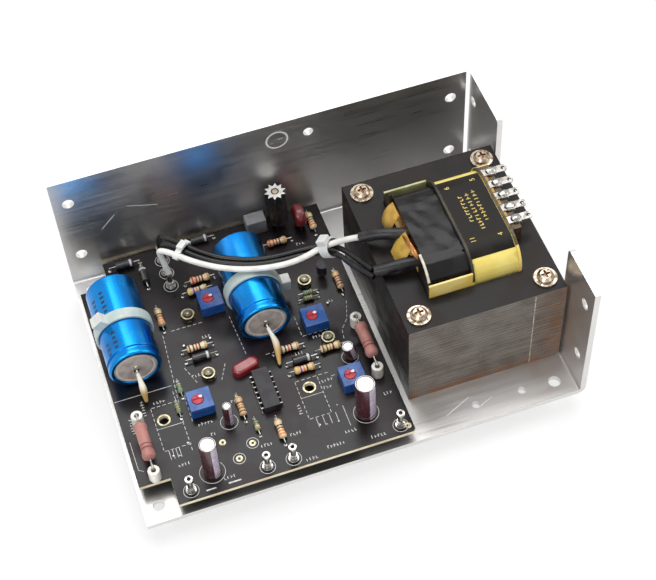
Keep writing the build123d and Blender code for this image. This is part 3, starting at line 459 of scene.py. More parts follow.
# Tan plating of the board's pads and hole rims. The same finish paints the highlight ring on the transistor
# nuts.
TAN_PLATE_AND_HIGHLIGHT = Finish("tan_plate_and_highlight", (0.50, 0.44, 0.30), (0.30, 0.26, 0.16), roughness=0.35, metallic=1.0,
                   patch_scale=600.0)
OLIVE_PLATE = Finish("olive_plate", (0.14, 0.13, 0.09), (0.07, 0.065, 0.04), roughness=0.35, rougher=0.2,
                     metallic=1.0, patch_scale=500.0)
CAN_STEEL = Finish("can_steel", (0.66, 0.65, 0.63), (0.54, 0.53, 0.51), roughness=0.25, metallic=1.0)
MICA = Finish("mica", (0.62, 0.55, 0.42), (0.55, 0.47, 0.34), roughness=0.3, coat=0.3)
VARNISH = Finish("core_varnish", (0.007, 0.006, 0.006), (0.018, 0.013, 0.011), roughness=0.32, rougher=0.2,
                 specular=0.2, patch_scale=70.0, grain_scale=1300.0, grain_strength=0.3)
STEEL_EDGES = Lamination("lamination_edges", (0.18, 0.155, 0.135), (0.13, 0.108, 0.092), roughness=0.42,
                         rougher=0.15, metallic=0.35, patch_scale=90.0, grain_scale=3600.0,
                         grain_strength=0.3, stretch=(0.03, 0.03, 1.0))
NYLON = Finish("former_nylon", (0.80, 0.57, 0.12), (0.84, 0.67, 0.24), roughness=0.32, coat=0.2,
               subsurface=0.1, patch_scale=90.0)
NYLON_DARK = Finish("former_dark", (0.014, 0.012, 0.010), (0.050, 0.042, 0.022), roughness=0.3,
                    specular=0.35, patch_scale=120.0)
NYLON_AMBER = Finish("former_amber", (0.10, 0.055, 0.014), (0.030, 0.020, 0.012), roughness=0.3,
                     patch_scale=500.0)
NYLON_OLIVE = Finish("former_olive", (0.40, 0.40, 0.19), (0.52, 0.50, 0.27), roughness=0.35,
                     patch_scale=260.0)
NYLON_CREAM = Finish("former_cream", (0.66, 0.62, 0.50), (0.44, 0.40, 0.30), roughness=0.35,
                     patch_scale=300.0)
SEAM = Finish("seam_line", (0.46, 0.42, 0.34), (0.24, 0.20, 0.16), roughness=0.5, patch_scale=300.0)
COPPER = Finish("winding_copper", (0.72, 0.34, 0.14), (0.50, 0.20, 0.07), roughness=0.25, metallic=1.0,
                patch_scale=900.0, grain_scale=3000.0, grain_strength=0.5)
KRAFT = Finish("kraft_patch", (0.46, 0.25, 0.04), (0.60, 0.38, 0.09), roughness=0.35, specular=0.3,
               patch_scale=250.0)
AMBER = Finish("amber_patch", (0.62, 0.40, 0.07), (0.46, 0.28, 0.05), roughness=0.35, specular=0.3,
               patch_scale=250.0)
BLACK_TAPE = Finish("black_tape", (0.004, 0.0035, 0.004), (0.010, 0.009, 0.009), roughness=0.14,
                    rougher=0.12, specular=0.25, patch_scale=120.0, grain_scale=300.0, grain_strength=0.3)
YELLOW_TAPE = Finish("yellow_tape", (0.92, 0.77, 0.23), (0.86, 0.68, 0.17), roughness=0.3, specular=0.25,
                     patch_scale=120.0, grain_scale=500.0, grain_strength=0.4)
LABEL = Finish("label_film", (0.005, 0.004, 0.003), (0.012, 0.009, 0.006), roughness=0.34, specular=0.18,
               patch_scale=90.0)
LABEL_INK = Finish("label_ink", (0.80, 0.60, 0.16), (0.62, 0.44, 0.10), roughness=0.45, patch_scale=700.0)
SCREW = Finish("screw_nickel", (0.84, 0.78, 0.70), (0.62, 0.53, 0.44), roughness=0.16, rougher=0.2,
               metallic=1.0, patch_scale=400.0)
SCREW_DOME = Finish("screw_dome", (0.48, 0.40, 0.31), (0.18, 0.13, 0.09), roughness=0.2, rougher=0.2,
                    metallic=1.0, patch_scale=600.0)
SCREW_RECESS = Finish("screw_recess", (0.30, 0.17, 0.10), (0.16, 0.08, 0.05), roughness=0.4, metallic=0.8)
BLUE_SLEEVE = Finish("capacitor_sleeve", (0.001, 0.24, 0.66), (0.001, 0.17, 0.52), roughness=0.24,
                     rougher=0.1, metallic=1.0, coat=0.25, patch_scale=60.0, grain_scale=700.0,
                     grain_strength=0.6, stretch=(1.0, 0.04, 1.0))
SLEEVE_INK = Finish("sleeve_ink", (0.004, 0.02, 0.07), (0.006, 0.04, 0.12), roughness=0.3,
                    patch_scale=900.0)
SEAL = Finish("rubber_seal", (0.46, 0.41, 0.38), (0.34, 0.29, 0.27), roughness=0.5, patch_scale=300.0,
              grain_strength=0.5)
SEAL_RIM = Finish("seal_rim", (0.62, 0.59, 0.56), (0.52, 0.48, 0.46), roughness=0.4, patch_scale=400.0)
NATURAL = Finish("natural_nylon", (0.44, 0.54, 0.52), (0.54, 0.62, 0.58), roughness=0.35, subsurface=0.15,
                 patch_scale=200.0)
WHITE_NYLON = Finish("white_nylon", (0.72, 0.73, 0.70), (0.64, 0.65, 0.62), roughness=0.35,
                     patch_scale=200.0)
WHITE_WIRE = Finish("white_insulation", (0.86, 0.85, 0.80), (0.74, 0.73, 0.68), roughness=0.35, coat=0.2,
                    patch_scale=220.0, grain_scale=700.0, grain_strength=0.2)
BLACK_WIRE = Finish("black_insulation", (0.004, 0.004, 0.005), (0.012, 0.012, 0.012), roughness=0.2,
                    specular=0.35, patch_scale=160.0, grain_scale=600.0, grain_strength=0.25)
CREAM_SLEEVE = Fading("cream_sleeve", (0.84, 0.80, 0.68), (0.76, 0.70, 0.56), roughness=0.45,
                      patch_scale=180.0, grain_strength=0.3)
BLACK_SLEEVE = Finish("black_sleeve", (0.008, 0.008, 0.009), (0.026, 0.025, 0.027), roughness=0.3,
                      rougher=0.2, specular=0.35, patch_scale=260.0, grain_scale=800.0, grain_strength=0.4)
TRIMMER_BLUE = Finish("trimmer_case", (0.012, 0.090, 0.34), (0.010, 0.065, 0.26), roughness=0.3, coat=0.2,
                      patch_scale=300.0)
ROTOR_RED = Finish("rotor_red", (0.52, 0.028, 0.045), (0.38, 0.018, 0.030), roughness=0.35,
                   patch_scale=900.0)
# White painted glint on the trimmer rotors.
PAINTED_GLINT = Finish("rotor_glint", (0.88, 0.88, 0.90), (0.80, 0.80, 0.84), roughness=0.3, patch_scale=900.0)
MAROON = Finish("electrolytic_sleeve", (0.075, 0.018, 0.028), (0.045, 0.010, 0.016), roughness=0.22,
                coat=0.4, patch_scale=300.0)
LAVENDER = Finish("sleeve_stripe", (0.52, 0.46, 0.56), (0.40, 0.34, 0.42), roughness=0.28, coat=0.3,
                  patch_scale=600.0)
PALE_TOP = Finish("can_top", (0.82, 0.82, 0.82), (0.70, 0.70, 0.70), roughness=0.3, metallic=0.5,
                  patch_scale=600.0)
CARBON = Finish("carbon_body", (0.80, 0.56, 0.32), (0.70, 0.44, 0.22), roughness=0.35, coat=0.3,
                patch_scale=500.0)
CREAM_BODY = Finish("cream_body", (0.84, 0.68, 0.44), (0.78, 0.58, 0.34), roughness=0.35, coat=0.3,
                    patch_scale=500.0)
GREEN_BODY = Finish("green_body", (0.30, 0.42, 0.20), (0.22, 0.32, 0.14), roughness=0.35, coat=0.3,
                    patch_scale=500.0)
PINK = Finish("resistor_pink", (0.46, 0.21, 0.18), (0.36, 0.15, 0.13), roughness=0.55, patch_scale=200.0,
              grain_scale=1400.0, grain_strength=0.6)
PINK_BAND = Finish("pink_band", (0.20, 0.05, 0.045), (0.14, 0.035, 0.03), roughness=0.5, patch_scale=500.0)
CERAMIC = Finish("bead_ceramic", (0.86, 0.84, 0.78), (0.74, 0.71, 0.64), roughness=0.3, coat=0.3,
                 patch_scale=400.0)
DIODE = Finish("diode_body", (0.012, 0.012, 0.013), (0.03, 0.03, 0.03), roughness=0.25, coat=0.3,
               patch_scale=400.0)
DIODE_BAND = Finish("diode_band", (0.62, 0.62, 0.62), (0.5, 0.5, 0.5), roughness=0.35, patch_scale=700.0)
CHIP = Finish("chip_moulding", (0.012, 0.010, 0.014), (0.022, 0.019, 0.023), roughness=0.35, specular=0.35,
              patch_scale=300.0, grain_scale=2500.0, grain_strength=0.3)
FINS = Finish("cooler_fins", (0.26, 0.26, 0.26), (0.12, 0.12, 0.12), roughness=0.28, metallic=1.0,
              patch_scale=200.0)
FIN_TOP = Finish("cooler_top", (0.86, 0.86, 0.84), (0.62, 0.61, 0.58), roughness=0.25, metallic=0.45,
                 patch_scale=900.0)
GOLD_CAN = Finish("driver_can", (0.66, 0.58, 0.42), (0.55, 0.47, 0.32), roughness=0.25, metallic=1.0)
DIPPED = Finish("dipped_red", (0.27, 0.014, 0.018), (0.19, 0.010, 0.012), roughness=0.14, coat=0.6,
                patch_scale=300.0, grain_scale=500.0, grain_strength=0.3)
DISC = Finish("disc_red", (0.17, 0.014, 0.018), (0.11, 0.009, 0.012), roughness=0.25, coat=0.4,
              patch_scale=300.0)
FILM = Finish("film_case", (0.20, 0.20, 0.21), (0.26, 0.26, 0.27), roughness=0.35, patch_scale=200.0)


FinishOf = Union[Finish, Callable[[bmesh.types.BMFace], Finish]]


def corner(x: float, y: float, z: float = 0.0) -> Vector:
    """Return the point x, y and z millimetres from the chassis's front left bottom corner."""
    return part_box("chassis")[0] + Vector((x, y, z)) * MM


def board_top() -> float:
    """Return the height of the board's upper face."""
    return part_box("circuit_board")[1].z


def on_board(x: float, y: float, up: float = 0.0) -> Vector:
    """Return the point above this place on the board, in millimetres from the chassis's corner."""
    point = corner(x, y)
    return Vector((point.x, point.y, board_top() + up * MM))


def merged_node(node: str) -> bmesh.types.BMesh:
    """Return a copy of a CAD node's mesh with its doubles merged and its flat faces whole.

    Args:
        node: The node's name.

    Returns:
        The new mesh.
    """
    bm = bmesh.new()
    bm.from_mesh(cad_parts[node].data)
    bmesh.ops.remove_doubles(bm, verts=bm.verts, dist=MERGE)
    bmesh.ops.dissolve_limit(bm, angle_limit=FLAT, verts=bm.verts, edges=bm.edges)
    return bm


def rounded_node(node: str, width: float = 0.15, segments: int = 2,
                 sharp: float = 35.0) -> bmesh.types.BMesh:
    """Return a merged copy of a CAD node with its sharp edges rounded.

    Args:
        node: The node's name.
        width: The rounding's width in millimetres.
        segments: Faces across the rounding.
        sharp: Edges that turn by more than this many degrees are rounded.

    Returns:
        The new mesh.
    """
    bm = merged_node(node)
    turn = math.radians(sharp)
    edges = [edge for edge in bm.edges if edge.is_manifold and edge.calc_face_angle(0.0) > turn]
    bmesh.ops.bevel(bm, geom=edges, offset=width * MM, affect="EDGES", segments=segments, profile=0.5,
                    material=-1, clamp_overlap=True)
    return bm


def cut(bm: bmesh.types.BMesh, point: Point, normal: Point, clear: bool = False) -> None:
    """Cut every face of a mesh along a plane.

    Args:
        bm: The mesh.
        point: A point of the plane.
        normal: The way that the plane faces.
        clear: Whether what lies in front of the plane goes.
    """
    bmesh.ops.bisect_plane(bm, geom=bm.verts[:] + bm.edges[:] + bm.faces[:], dist=MERGE / 10,
                           plane_co=point, plane_no=normal, clear_outer=clear)


def scaled_about(place: Point, factors: Point) -> Matrix:
    """Return the matrix that scales by these factors about a place."""
    move = Matrix.Translation(place)
    return move @ Matrix.Diagonal((*factors, 1.0)) @ move.inverted()


def islands(node: str) -> list[tuple[Vector, Vector]]:
    """Return the lowest and highest corner of each separate solid in a CAD node.

    Args:
        node: The node's name.

    Returns:
        A pair of corners for each solid, sorted by the lowest corner.
    """
    bm = merged_node(node)
    waiting = set(bm.verts)
    boxes = []
    while waiting:
        front = [waiting.pop()]
        found = list(front)
        while front:
            vert = front.pop()
            for edge in vert.link_edges:
                other = edge.other_vert(vert)
                if other in waiting:
                    waiting.discard(other)
                    front.append(other)
                    found.append(other)
        boxes.append((Vector(min(vert.co[axis] for vert in found) for axis in range(3)),
                      Vector(max(vert.co[axis] for vert in found) for axis in range(3))))
    bm.free()
    return sorted(boxes, key=lambda box: tuple(box[0]))


def lathe(profile: Sequence[Spot], place: Matrix, steps: int = 28) -> bmesh.types.BMesh:
    """Spin a profile round the X axis.

    Args:
        profile: Pairs of a place along the axis and a radius, in millimetres.
        place: Where the turned piece goes.
        steps: Faces round the axis.

    Returns:
        The new mesh.
    """
    bm = bmesh.new()
    verts = [bm.verts.new((along * MM, 0.0, radius * MM)) for along, radius in profile]
    edges = [bm.edges.new(pair) for pair in zip(verts, verts[1:])]
    bmesh.ops.spin(bm, geom=verts + edges, cent=(0, 0, 0), axis=(1, 0, 0), dvec=(0, 0, 0), angle=FULL_TURN,
                   steps=steps, use_merge=True, use_duplicate=False)
    bmesh.ops.remove_doubles(bm, verts=bm.verts, dist=MERGE / 10)
    bmesh.ops.recalc_face_normals(bm, faces=bm.faces)
    bm.transform(place)
    return bm


def block(size: Point, place: Matrix, width: float = 0.0) -> bmesh.types.BMesh:
    """Make a block of this size in millimetres, with its edges rounded by width.

    Args:
        size: Its three sides.
        place: Where its middle goes.
        width: The rounding's width, or 0 for sharp edges.

    Returns:
        The new mesh.
    """
    bm = bmesh.new()
    bmesh.ops.create_cube(bm, size=1.0, matrix=Matrix.Diagonal((*[side * MM for side in size], 1.0)))
    if width:
        bmesh.ops.bevel(bm, geom=bm.edges[:], offset=width * MM, affect="EDGES", segments=2, profile=0.5,
                        material=-1)
    bm.transform(place)
    return bm


def slab(start: Vector, end: Vector, width: float, thickness: float) -> bmesh.types.BMesh:
    """Make a flat bar from start to end, lying on the board or on another level face.

    Args:
        start: The middle of one end's foot.
        end: The middle of the other end's foot.
        width: Its width in millimetres.
        thickness: Its height in millimetres.

    Returns:
        The new mesh.
    """
    span = end - start
    turn = math.atan2(span.y, span.x)
    middle = (start + end) / 2 + Vector((0, 0, thickness * MM / 2))
    place = Matrix.Translation(middle) @ Matrix.Rotation(turn, 4, "Z")
    return block((span.length / MM, width, thickness), place)


def ring(centre: Vector, radius: float, width: float, thickness: float,
         steps: int = 40) -> bmesh.types.BMesh:
    """Make a flat ring that lies level, its mean radius and width in millimetres.

    Args:
        centre: The middle of its foot.
        radius: Its mean radius.
        width: Its width.
        thickness: Its height.
        steps: Faces round it.

    Returns:
        The new mesh.
    """
    inner = radius - width / 2
    outer = radius + width / 2
    profile = ((0, inner), (0, outer), (thickness, outer), (thickness, inner), (0, inner))
    return lathe(profile, Matrix.Translation(centre) @ UPRIGHT, steps)


def lump(centre: Vector, size: Point, seed: float, uneven: float = 0.25) -> bmesh.types.BMesh:
    """Make a lump, for drops of solder and for painted highlights on rotors and screw ends: a ball pulled
    out of round by slow noise.

    Args:
        centre: Its middle.
        size: Its three half sizes in millimetres.
        seed: Where the noise is read, so that drops differ.
        uneven: The share of the size that the noise moves.

    Returns:
        The new mesh.
    """
    bm = bmesh.new()
    bmesh.ops.create_icosphere(bm, subdivisions=3, radius=1.0)
    for vert in bm.verts:
        vert.co *= 1.0 + uneven * noise.noise(1.3 * vert.co + Vector((seed, 0.0, seed)))
    stretch = Matrix.Diagonal((*[half * MM for half in size], 1.0))
    bmesh.ops.transform(bm, matrix=Matrix.Translation(centre) @ stretch, verts=bm.verts)
    return bm


def round_line(name: str, points: Sequence[Vector], diameter: float, facets: int, steps: int,
               shares: Sequence[float] = ()) -> bpy.types.Curve:
    """Make a round line along a smooth curve.

    Args:
        name: The curve's name.
        points: Its control points.
        diameter: Its diameter in millimetres.
        facets: The bevel's resolution.
        steps: The resolution between two control points.
        shares: The share of the diameter at each point, where it isn't even.

    Returns:
        The new curve.
    """
    curve = bpy.data.curves.new(name, "CURVE")
    curve.dimensions = "3D"
    curve.bevel_depth = diameter * MM / 2
    curve.bevel_resolution = facets
    curve.use_fill_caps = True
    curve.resolution_u = steps
    spline = curve.splines.new("NURBS")
    spline.points.add(len(points) - 1)
    for control, point in zip(spline.points, points):
        control.co = (*point, 1.0)
    for control, share in zip(spline.points, shares):
        control.radius = share
    spline.order_u = 3
    spline.use_endpoint_u = True
    return curve


def curve_mesh(curve: bpy.types.Curve) -> bmesh.types.BMesh:
    """Turn a curve into a mesh.

    Args:
        curve: The curve, which is deleted.

    Returns:
        The new mesh.
    """
    holder = bpy.data.objects.new(curve.name, curve)
    mesh = bpy.data.meshes.new_from_object(holder)
    bm = bmesh.new()
    bm.from_mesh(mesh)
    bpy.data.objects.remove(holder)
    bpy.data.meshes.remove(mesh)
    bpy.data.curves.remove(curve)
    return bm


def wire(points: Sequence[Vector], diameter: float, shares: Sequence[float] = ()) -> bmesh.types.BMesh:
    """Make a round wire along a smooth curve.

    Args:
        points: The curve's control points.
        diameter: The wire's diameter in millimetres.
        shares: The share of the diameter at each point, where it isn't even.

    Returns:
        The new mesh.
    """
    return curve_mesh(round_line("wire_line", points, diameter, facets=3, steps=8, shares=shares))


def numeral(text: str, size: float, place: Matrix, thickness: float = 0.04) -> bmesh.types.BMesh:
    """Make a plain printed number, its height in millimetres, centred on its place.

    Args:
        text: The digits.
        size: Their height.
        place: Where the middle goes.
        thickness: The print's thickness.

    Returns:
        The new mesh.
    """
    curve = bpy.data.curves.new("numeral", "FONT")
    curve.body = text
    curve.size = size * MM
    curve.extrude = thickness * MM / 2
    curve.align_x = "CENTER"
    curve.align_y = "CENTER"
    curve.resolution_u = 3
    bm = curve_mesh(curve)
    bm.transform(place)
    return bm


class Making:
    """A piece in the making: a mesh and the finishes that its faces take."""

    def __init__(self) -> None:
        """Start with no faces."""
        self.bm = bmesh.new()
        self.finishes: list[Finish] = []

    def take(self, part: bmesh.types.BMesh, finish: FinishOf) -> "Making":
        """Add a mesh to the piece and free it.

        Args:
            part: The mesh to add.
            finish: One finish for all its faces, or a function that picks one for each face.

        Returns:
            The piece itself, so that calls can be chained.
        """
        for face in part.faces:
            picked = finish if isinstance(finish, Finish) else finish(face)
            if picked not in self.finishes:
                self.finishes.append(picked)
            face.material_index = self.finishes.index(picked)
        mesh = bpy.data.meshes.new("part")
        part.to_mesh(mesh)
        part.free()
        self.bm.from_mesh(mesh)
        bpy.data.meshes.remove(mesh)
        return self

    def piece(self, name: str, slot: str, nodes: Sequence[str] = (), body: str = SUPPLY,
              smooth: float = 42.0) -> bpy.types.Object:
        """Finish the piece as an object that rides on a body.

        Args:
            name: The piece's name.
            slot: The record's material slot, which is not used.
            nodes: The CAD nodes that it stands for.
            body: The CAD body that it moves with.
            smooth: Edges that turn by less than this many degrees are shaded smooth.

        Returns:
            The new object.
        """
        mesh = bpy.data.meshes.new(name)
        self.bm.to_mesh(mesh)
        self.bm.free()
        for finish in self.finishes:
            mesh.materials.append(finish.material())
        mesh.shade_smooth()
        mesh.set_sharp_from_angle(angle=math.radians(smooth))
        made = bpy.data.objects.new(name, mesh)
        bpy.context.scene.collection.objects.link(made)
        weighted = made.modifiers.new("face weights", "WEIGHTED_NORMAL")
        weighted.keep_sharp = True
        if nodes:
            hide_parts(*nodes)
        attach(made, body)
        log.info("%s: %d faces", name, len(mesh.polygons))
        return made


def dress(node: str, name: str, slot: str, finish: FinishOf, width: float = 0.15, segments: int = 2) -> None:
    """Make the piece that stands for a CAD node: its solids with rounded edges and a finish.

    Args:
        node: The CAD node.
        name: The piece's name.
        slot: The record's material slot, which is not used.
        finish: One finish, or a function that picks one for each face.
        width: The rounding's width in millimetres.
        segments: Faces across the rounding.
    """
    Making().take(rounded_node(node, width, segments), finish).piece(name, slot, [node])


@dataclass(frozen=True)
class Lamp:
    """A square lamp that faces the origin: its place and size in metres and its power in watts."""

    name: str
    place: Point
    size: float
    power: float


@dataclass
class Studio:
    """White backdrop, soft lamps and the camera where the photograph was taken."""

    camera_place: Point = (-0.0936, -0.34935, 0.5236)
    camera_right: Point = (0.9461, -0.3213, -0.0401)
    camera_up: Point = (0.2805, 0.7513, 0.5974)
    camera_back: Point = (-0.1618, -0.5765, 0.8010)
    lens: float = 84.8
    floor_size: float = 6.0
    world_strength: float = 0.45
    floor_glow: float = 0.6
    floor_drop: float = 0.2 * MM
    lamps: tuple[Lamp, ...] = (Lamp("overhead", (0.1, 0.35, 1.3), 1.1, 12.0),
                               Lamp("front_left", (-0.8, -0.9, 0.9), 0.7, 6.5),
                               Lamp("right", (1.1, -0.2, 0.8), 0.6, 4.0))

    def camera(self) -> None:
        """Set the camera."""
        data = bpy.data.cameras.new("camera")
        data.lens = self.lens
        data.clip_start = 0.01
        made = bpy.data.objects.new("camera", data)
        turn = Matrix((self.camera_right, self.camera_up, self.camera_back)).transposed()
        made.matrix_world = Matrix.Translation(self.camera_place) @ turn.to_4x4()
        bpy.context.scene.collection.objects.link(made)
        bpy.context.scene.camera = made

    def hang(self, lamp: Lamp) -> None:
        """Hang a lamp.

        Args:
            lamp: The lamp's place, size and power.
        """
        data = bpy.data.lights.new(lamp.name, "AREA")
        data.size = lamp.size
        data.energy = lamp.power
        made = bpy.data.objects.new(lamp.name, data)
        made.location = lamp.place
        made.rotation_mode = "QUATERNION"
        made.rotation_quaternion = (-Vector(lamp.place)).to_track_quat("-Z", "Y")
        bpy.context.scene.collection.objects.link(made)

    def seen(self, tree: NodeTree) -> bpy.types.NodeSocket:
        """Return 1 where the camera, a reflection or a clear piece looks at the surroundings, else 0.

        Args:
            tree: The tree that the nodes go into.

        Returns:
            The mask.
        """
        path = tree.node("LightPath").outputs
        mirrored = tree.math("MAXIMUM", path["Is Glossy Ray"], path["Is Transmission Ray"])
        return tree.math("MAXIMUM", path["Is Camera Ray"], mirrored)

    def world(self) -> None:
        """Light softly and plainly from all sides."""
        world = bpy.data.worlds.new("studio")
        world.use_nodes = True
        bpy.context.scene.world = world
        tree = NodeTree(world.node_tree)
        background = world.node_tree.nodes["Background"]
        tree.feed(background.inputs["Color"], (1.0, 1.0, 1.0))
        strength = tree.ramp(self.seen(tree), 0.0, 1.0, self.world_strength, 1.0)
        tree.feed(background.inputs["Strength"], strength)

    def floor(self) -> None:
        """Lay a white floor that keeps a light shadow."""
        bm = bmesh.new()
        bmesh.ops.create_grid(bm, x_segments=1, y_segments=1, size=self.floor_size / 2)
        mesh = bpy.data.meshes.new("floor")
        bm.to_mesh(mesh)
        bm.free()
        made = bpy.data.objects.new("floor", mesh)
        bpy.context.scene.collection.objects.link(made)
        made.location.z = -self.floor_drop
        shader = Shader("floor_white")
        shader.set(Base_Color=(0.97, 0.97, 0.97), Roughness=0.9, Specular_IOR_Level=0.0)
        glow = shader.node("Emission", {"Color": (1.0, 1.0, 1.0), "Strength": 1.0})
        share = shader.math("MULTIPLY", self.seen(shader), self.floor_glow)
        both = shader.node("MixShader", {0: share, 1: shader.principled.outputs[0], 2: glow.outputs[0]})
        shader.tree.links.new(both.outputs[0], shader.tree.nodes["Material Output"].inputs["Surface"])
        mesh.materials.append(shader.material)

    def build(self) -> None:
        """Set up the studio."""
        bpy.context.scene.view_settings.view_transform = "Standard"
        self.world()
        self.floor()
        for lamp in self.lamps:
            self.hang(lamp)


@dataclass(frozen=True)
class Lead:
    """An insulated lead from the transformer to the board."""

    node: str
    route: tuple[Point, ...]
    diameter: float
    length: float
    finish: Finish
    slot: str


WHITE_ROUTE = ((108.4, 66.3, 49.7), (99.0, 73.8, 42.2), (84.0, 73.0, 36.3), (66.0, 77.5, 34.2),
               (50.0, 86.0, 34.2), (35.0, 100.6, 35.2), (36.2, 100.4, 27.5), (37.4, 99.5, 19.0))
LOWER_ROUTE = ((107.5, 46.9, 48.6), (102.2, 56.5, 46.4), (100.0, 66.5, 42.8), (95.9, 73.2, 37.8),
               (88.5, 75.6, 36.6), (77.5, 77.1, 35.1), (66.9, 79.9, 34.2), (51.8, 87.7, 34.2),
               (38.3, 103.0, 34.6), (37.5, 106.2, 27.0), (37.4, 106.5, 19.0))
UPPER_ROUTE = ((108.2, 50.2, 48.8), (105.2, 58.4, 46.5), (102.4, 68.0, 42.8), (98.6, 75.6, 38.6),
               (90.5, 78.0, 36.7), (77.8, 79.5, 35.1), (67.8, 82.3, 34.2), (53.6, 89.5, 34.2),
               (39.4, 105.5, 34.6), (37.6, 112.6, 27.0), (37.4, 113.5, 19.0))


@dataclass(frozen=True)
class Tie:
    """A nylon tie round the leads: its place, direction, opening, band and head in millimetres."""

    node: str
    place: Point
    along: Point
    inner: Spot
    width: float
    thickness: float
    head: Point
    head_place: Point


LEAD_TIE = Tie("lead_tie", (98.0, 72.6, 40.6), (-0.6, 0.6, -0.5), (7.4, 7.2), 4.2, 0.6, (4.4, 2.4, 4.2),
               (0.6, 4.4, 0.0))
BUNDLE_TIE = Tie("bundle_tie", (44.0, 96.6, 34.4), (-0.66, 0.75, 0.0), (9.0, 3.6), 2.6, 0.5,
                 (4.2, 1.6, 2.8), (-0.5, 2.6, 0.0))


@dataclass
class Wiring:
    """The three leads, the sleeves that they leave and the ties round them."""

    leads: tuple[Lead, ...] = (
        Lead("white_lead", WHITE_ROUTE, 2.4, 98.5, WHITE_WIRE, "white_insulation"),
        Lead("black_lead_lower", LOWER_ROUTE, 2.2, 113.3, BLACK_WIRE, "black_insulation"),
        Lead("black_lead_upper", UPPER_ROUTE, 2.2, 115.4, BLACK_WIRE, "black_insulation"))
    sleeves: tuple[tuple[Point, ...], ...] = (
        ((126.0, 58.8, 53.2), (120.0, 60.5, 53.6), (114.0, 63.6, 52.4), (108.6, 65.6, 50.0)),
        ((126.0, 46.6, 51.2), (120.0, 46.9, 51.4), (114.0, 47.6, 50.6), (108.6, 48.9, 49.2)))
    sleeve_diameter: float = 4.6

    def strap(self, spec: Tie) -> bpy.types.Object:
        """Build one tie: a snug band round the leads and its head.

        Args:
            spec: The tie.

        Returns:
            The piece.
        """
        along = Vector(spec.along).normalized()
        across = Vector((0, 0, 1)).cross(along).normalized()
        turn = Matrix((across, along.cross(across), along)).transposed().to_4x4()
        place = Matrix.Translation(corner(*spec.place)) @ turn
        half = spec.width / 2
        outer = 1.0 + 4 * spec.thickness / (spec.inner[0] + spec.inner[1])
        profile = ((-half, 1.0), (-half + 0.2, outer), (half - 0.2, outer), (half, 1.0), (-half, 1.0))
        shape = Matrix.Diagonal((spec.inner[0] / 2, spec.inner[1] / 2, 1.0, 1.0))
        band = lathe(profile, UPRIGHT, 40)
        band.transform(place @ shape)
        head = block(spec.head, place @ Matrix.Translation(Vector(spec.head_place) * MM), 0.35)
        return Making().take(band, WHITE_NYLON).take(head, WHITE_NYLON).piece(
            spec.node + "_strap", "natural_nylon", [spec.node])

    def ties(self) -> list[bpy.types.Object]:
        """Build the ties round the leads."""
        return [self.strap(spec) for spec in (LEAD_TIE, BUNDLE_TIE)]

    def lead(self, spec: Lead) -> bpy.types.Object:
        """Args:
            spec: The lead.

        Returns:
            The piece.
        """
        points = [corner(*point) for point in spec.route]
        curve = round_line(spec.node + "_line", points, spec.diameter, facets=6, steps=16)
        curve.materials.append(spec.finish.material())
        made = bpy.data.objects.new(spec.node + "_cord", curve)
        bpy.context.scene.collection.objects.link(made)
        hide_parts(spec.node)
        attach(made, SUPPLY)
        return made

    def build(self) -> None:
        """Build the leads, ties and sleeves."""
        ties = self.ties()
        for spec, pieces in zip(self.leads, (ties, [], [])):
            self.lead(spec)
        sleeves = Making()
        for route in self.sleeves:
            sleeves.take(wire([corner(*point) for point in route], self.sleeve_diameter), BLACK_SLEEVE)
        sleeves.piece("winding_sleeve_pair", "black_sleeve", ["winding_sleeves"])


@dataclass
class Chassis:
    """The folded sheet that carries everything."""

    edge: float = 0.2

    def build(self) -> None:
        """Round the sheet's edges and give it its finish."""
        dress("chassis", "chassis_sheet", "sheet_aluminium", SHEET, self.edge)


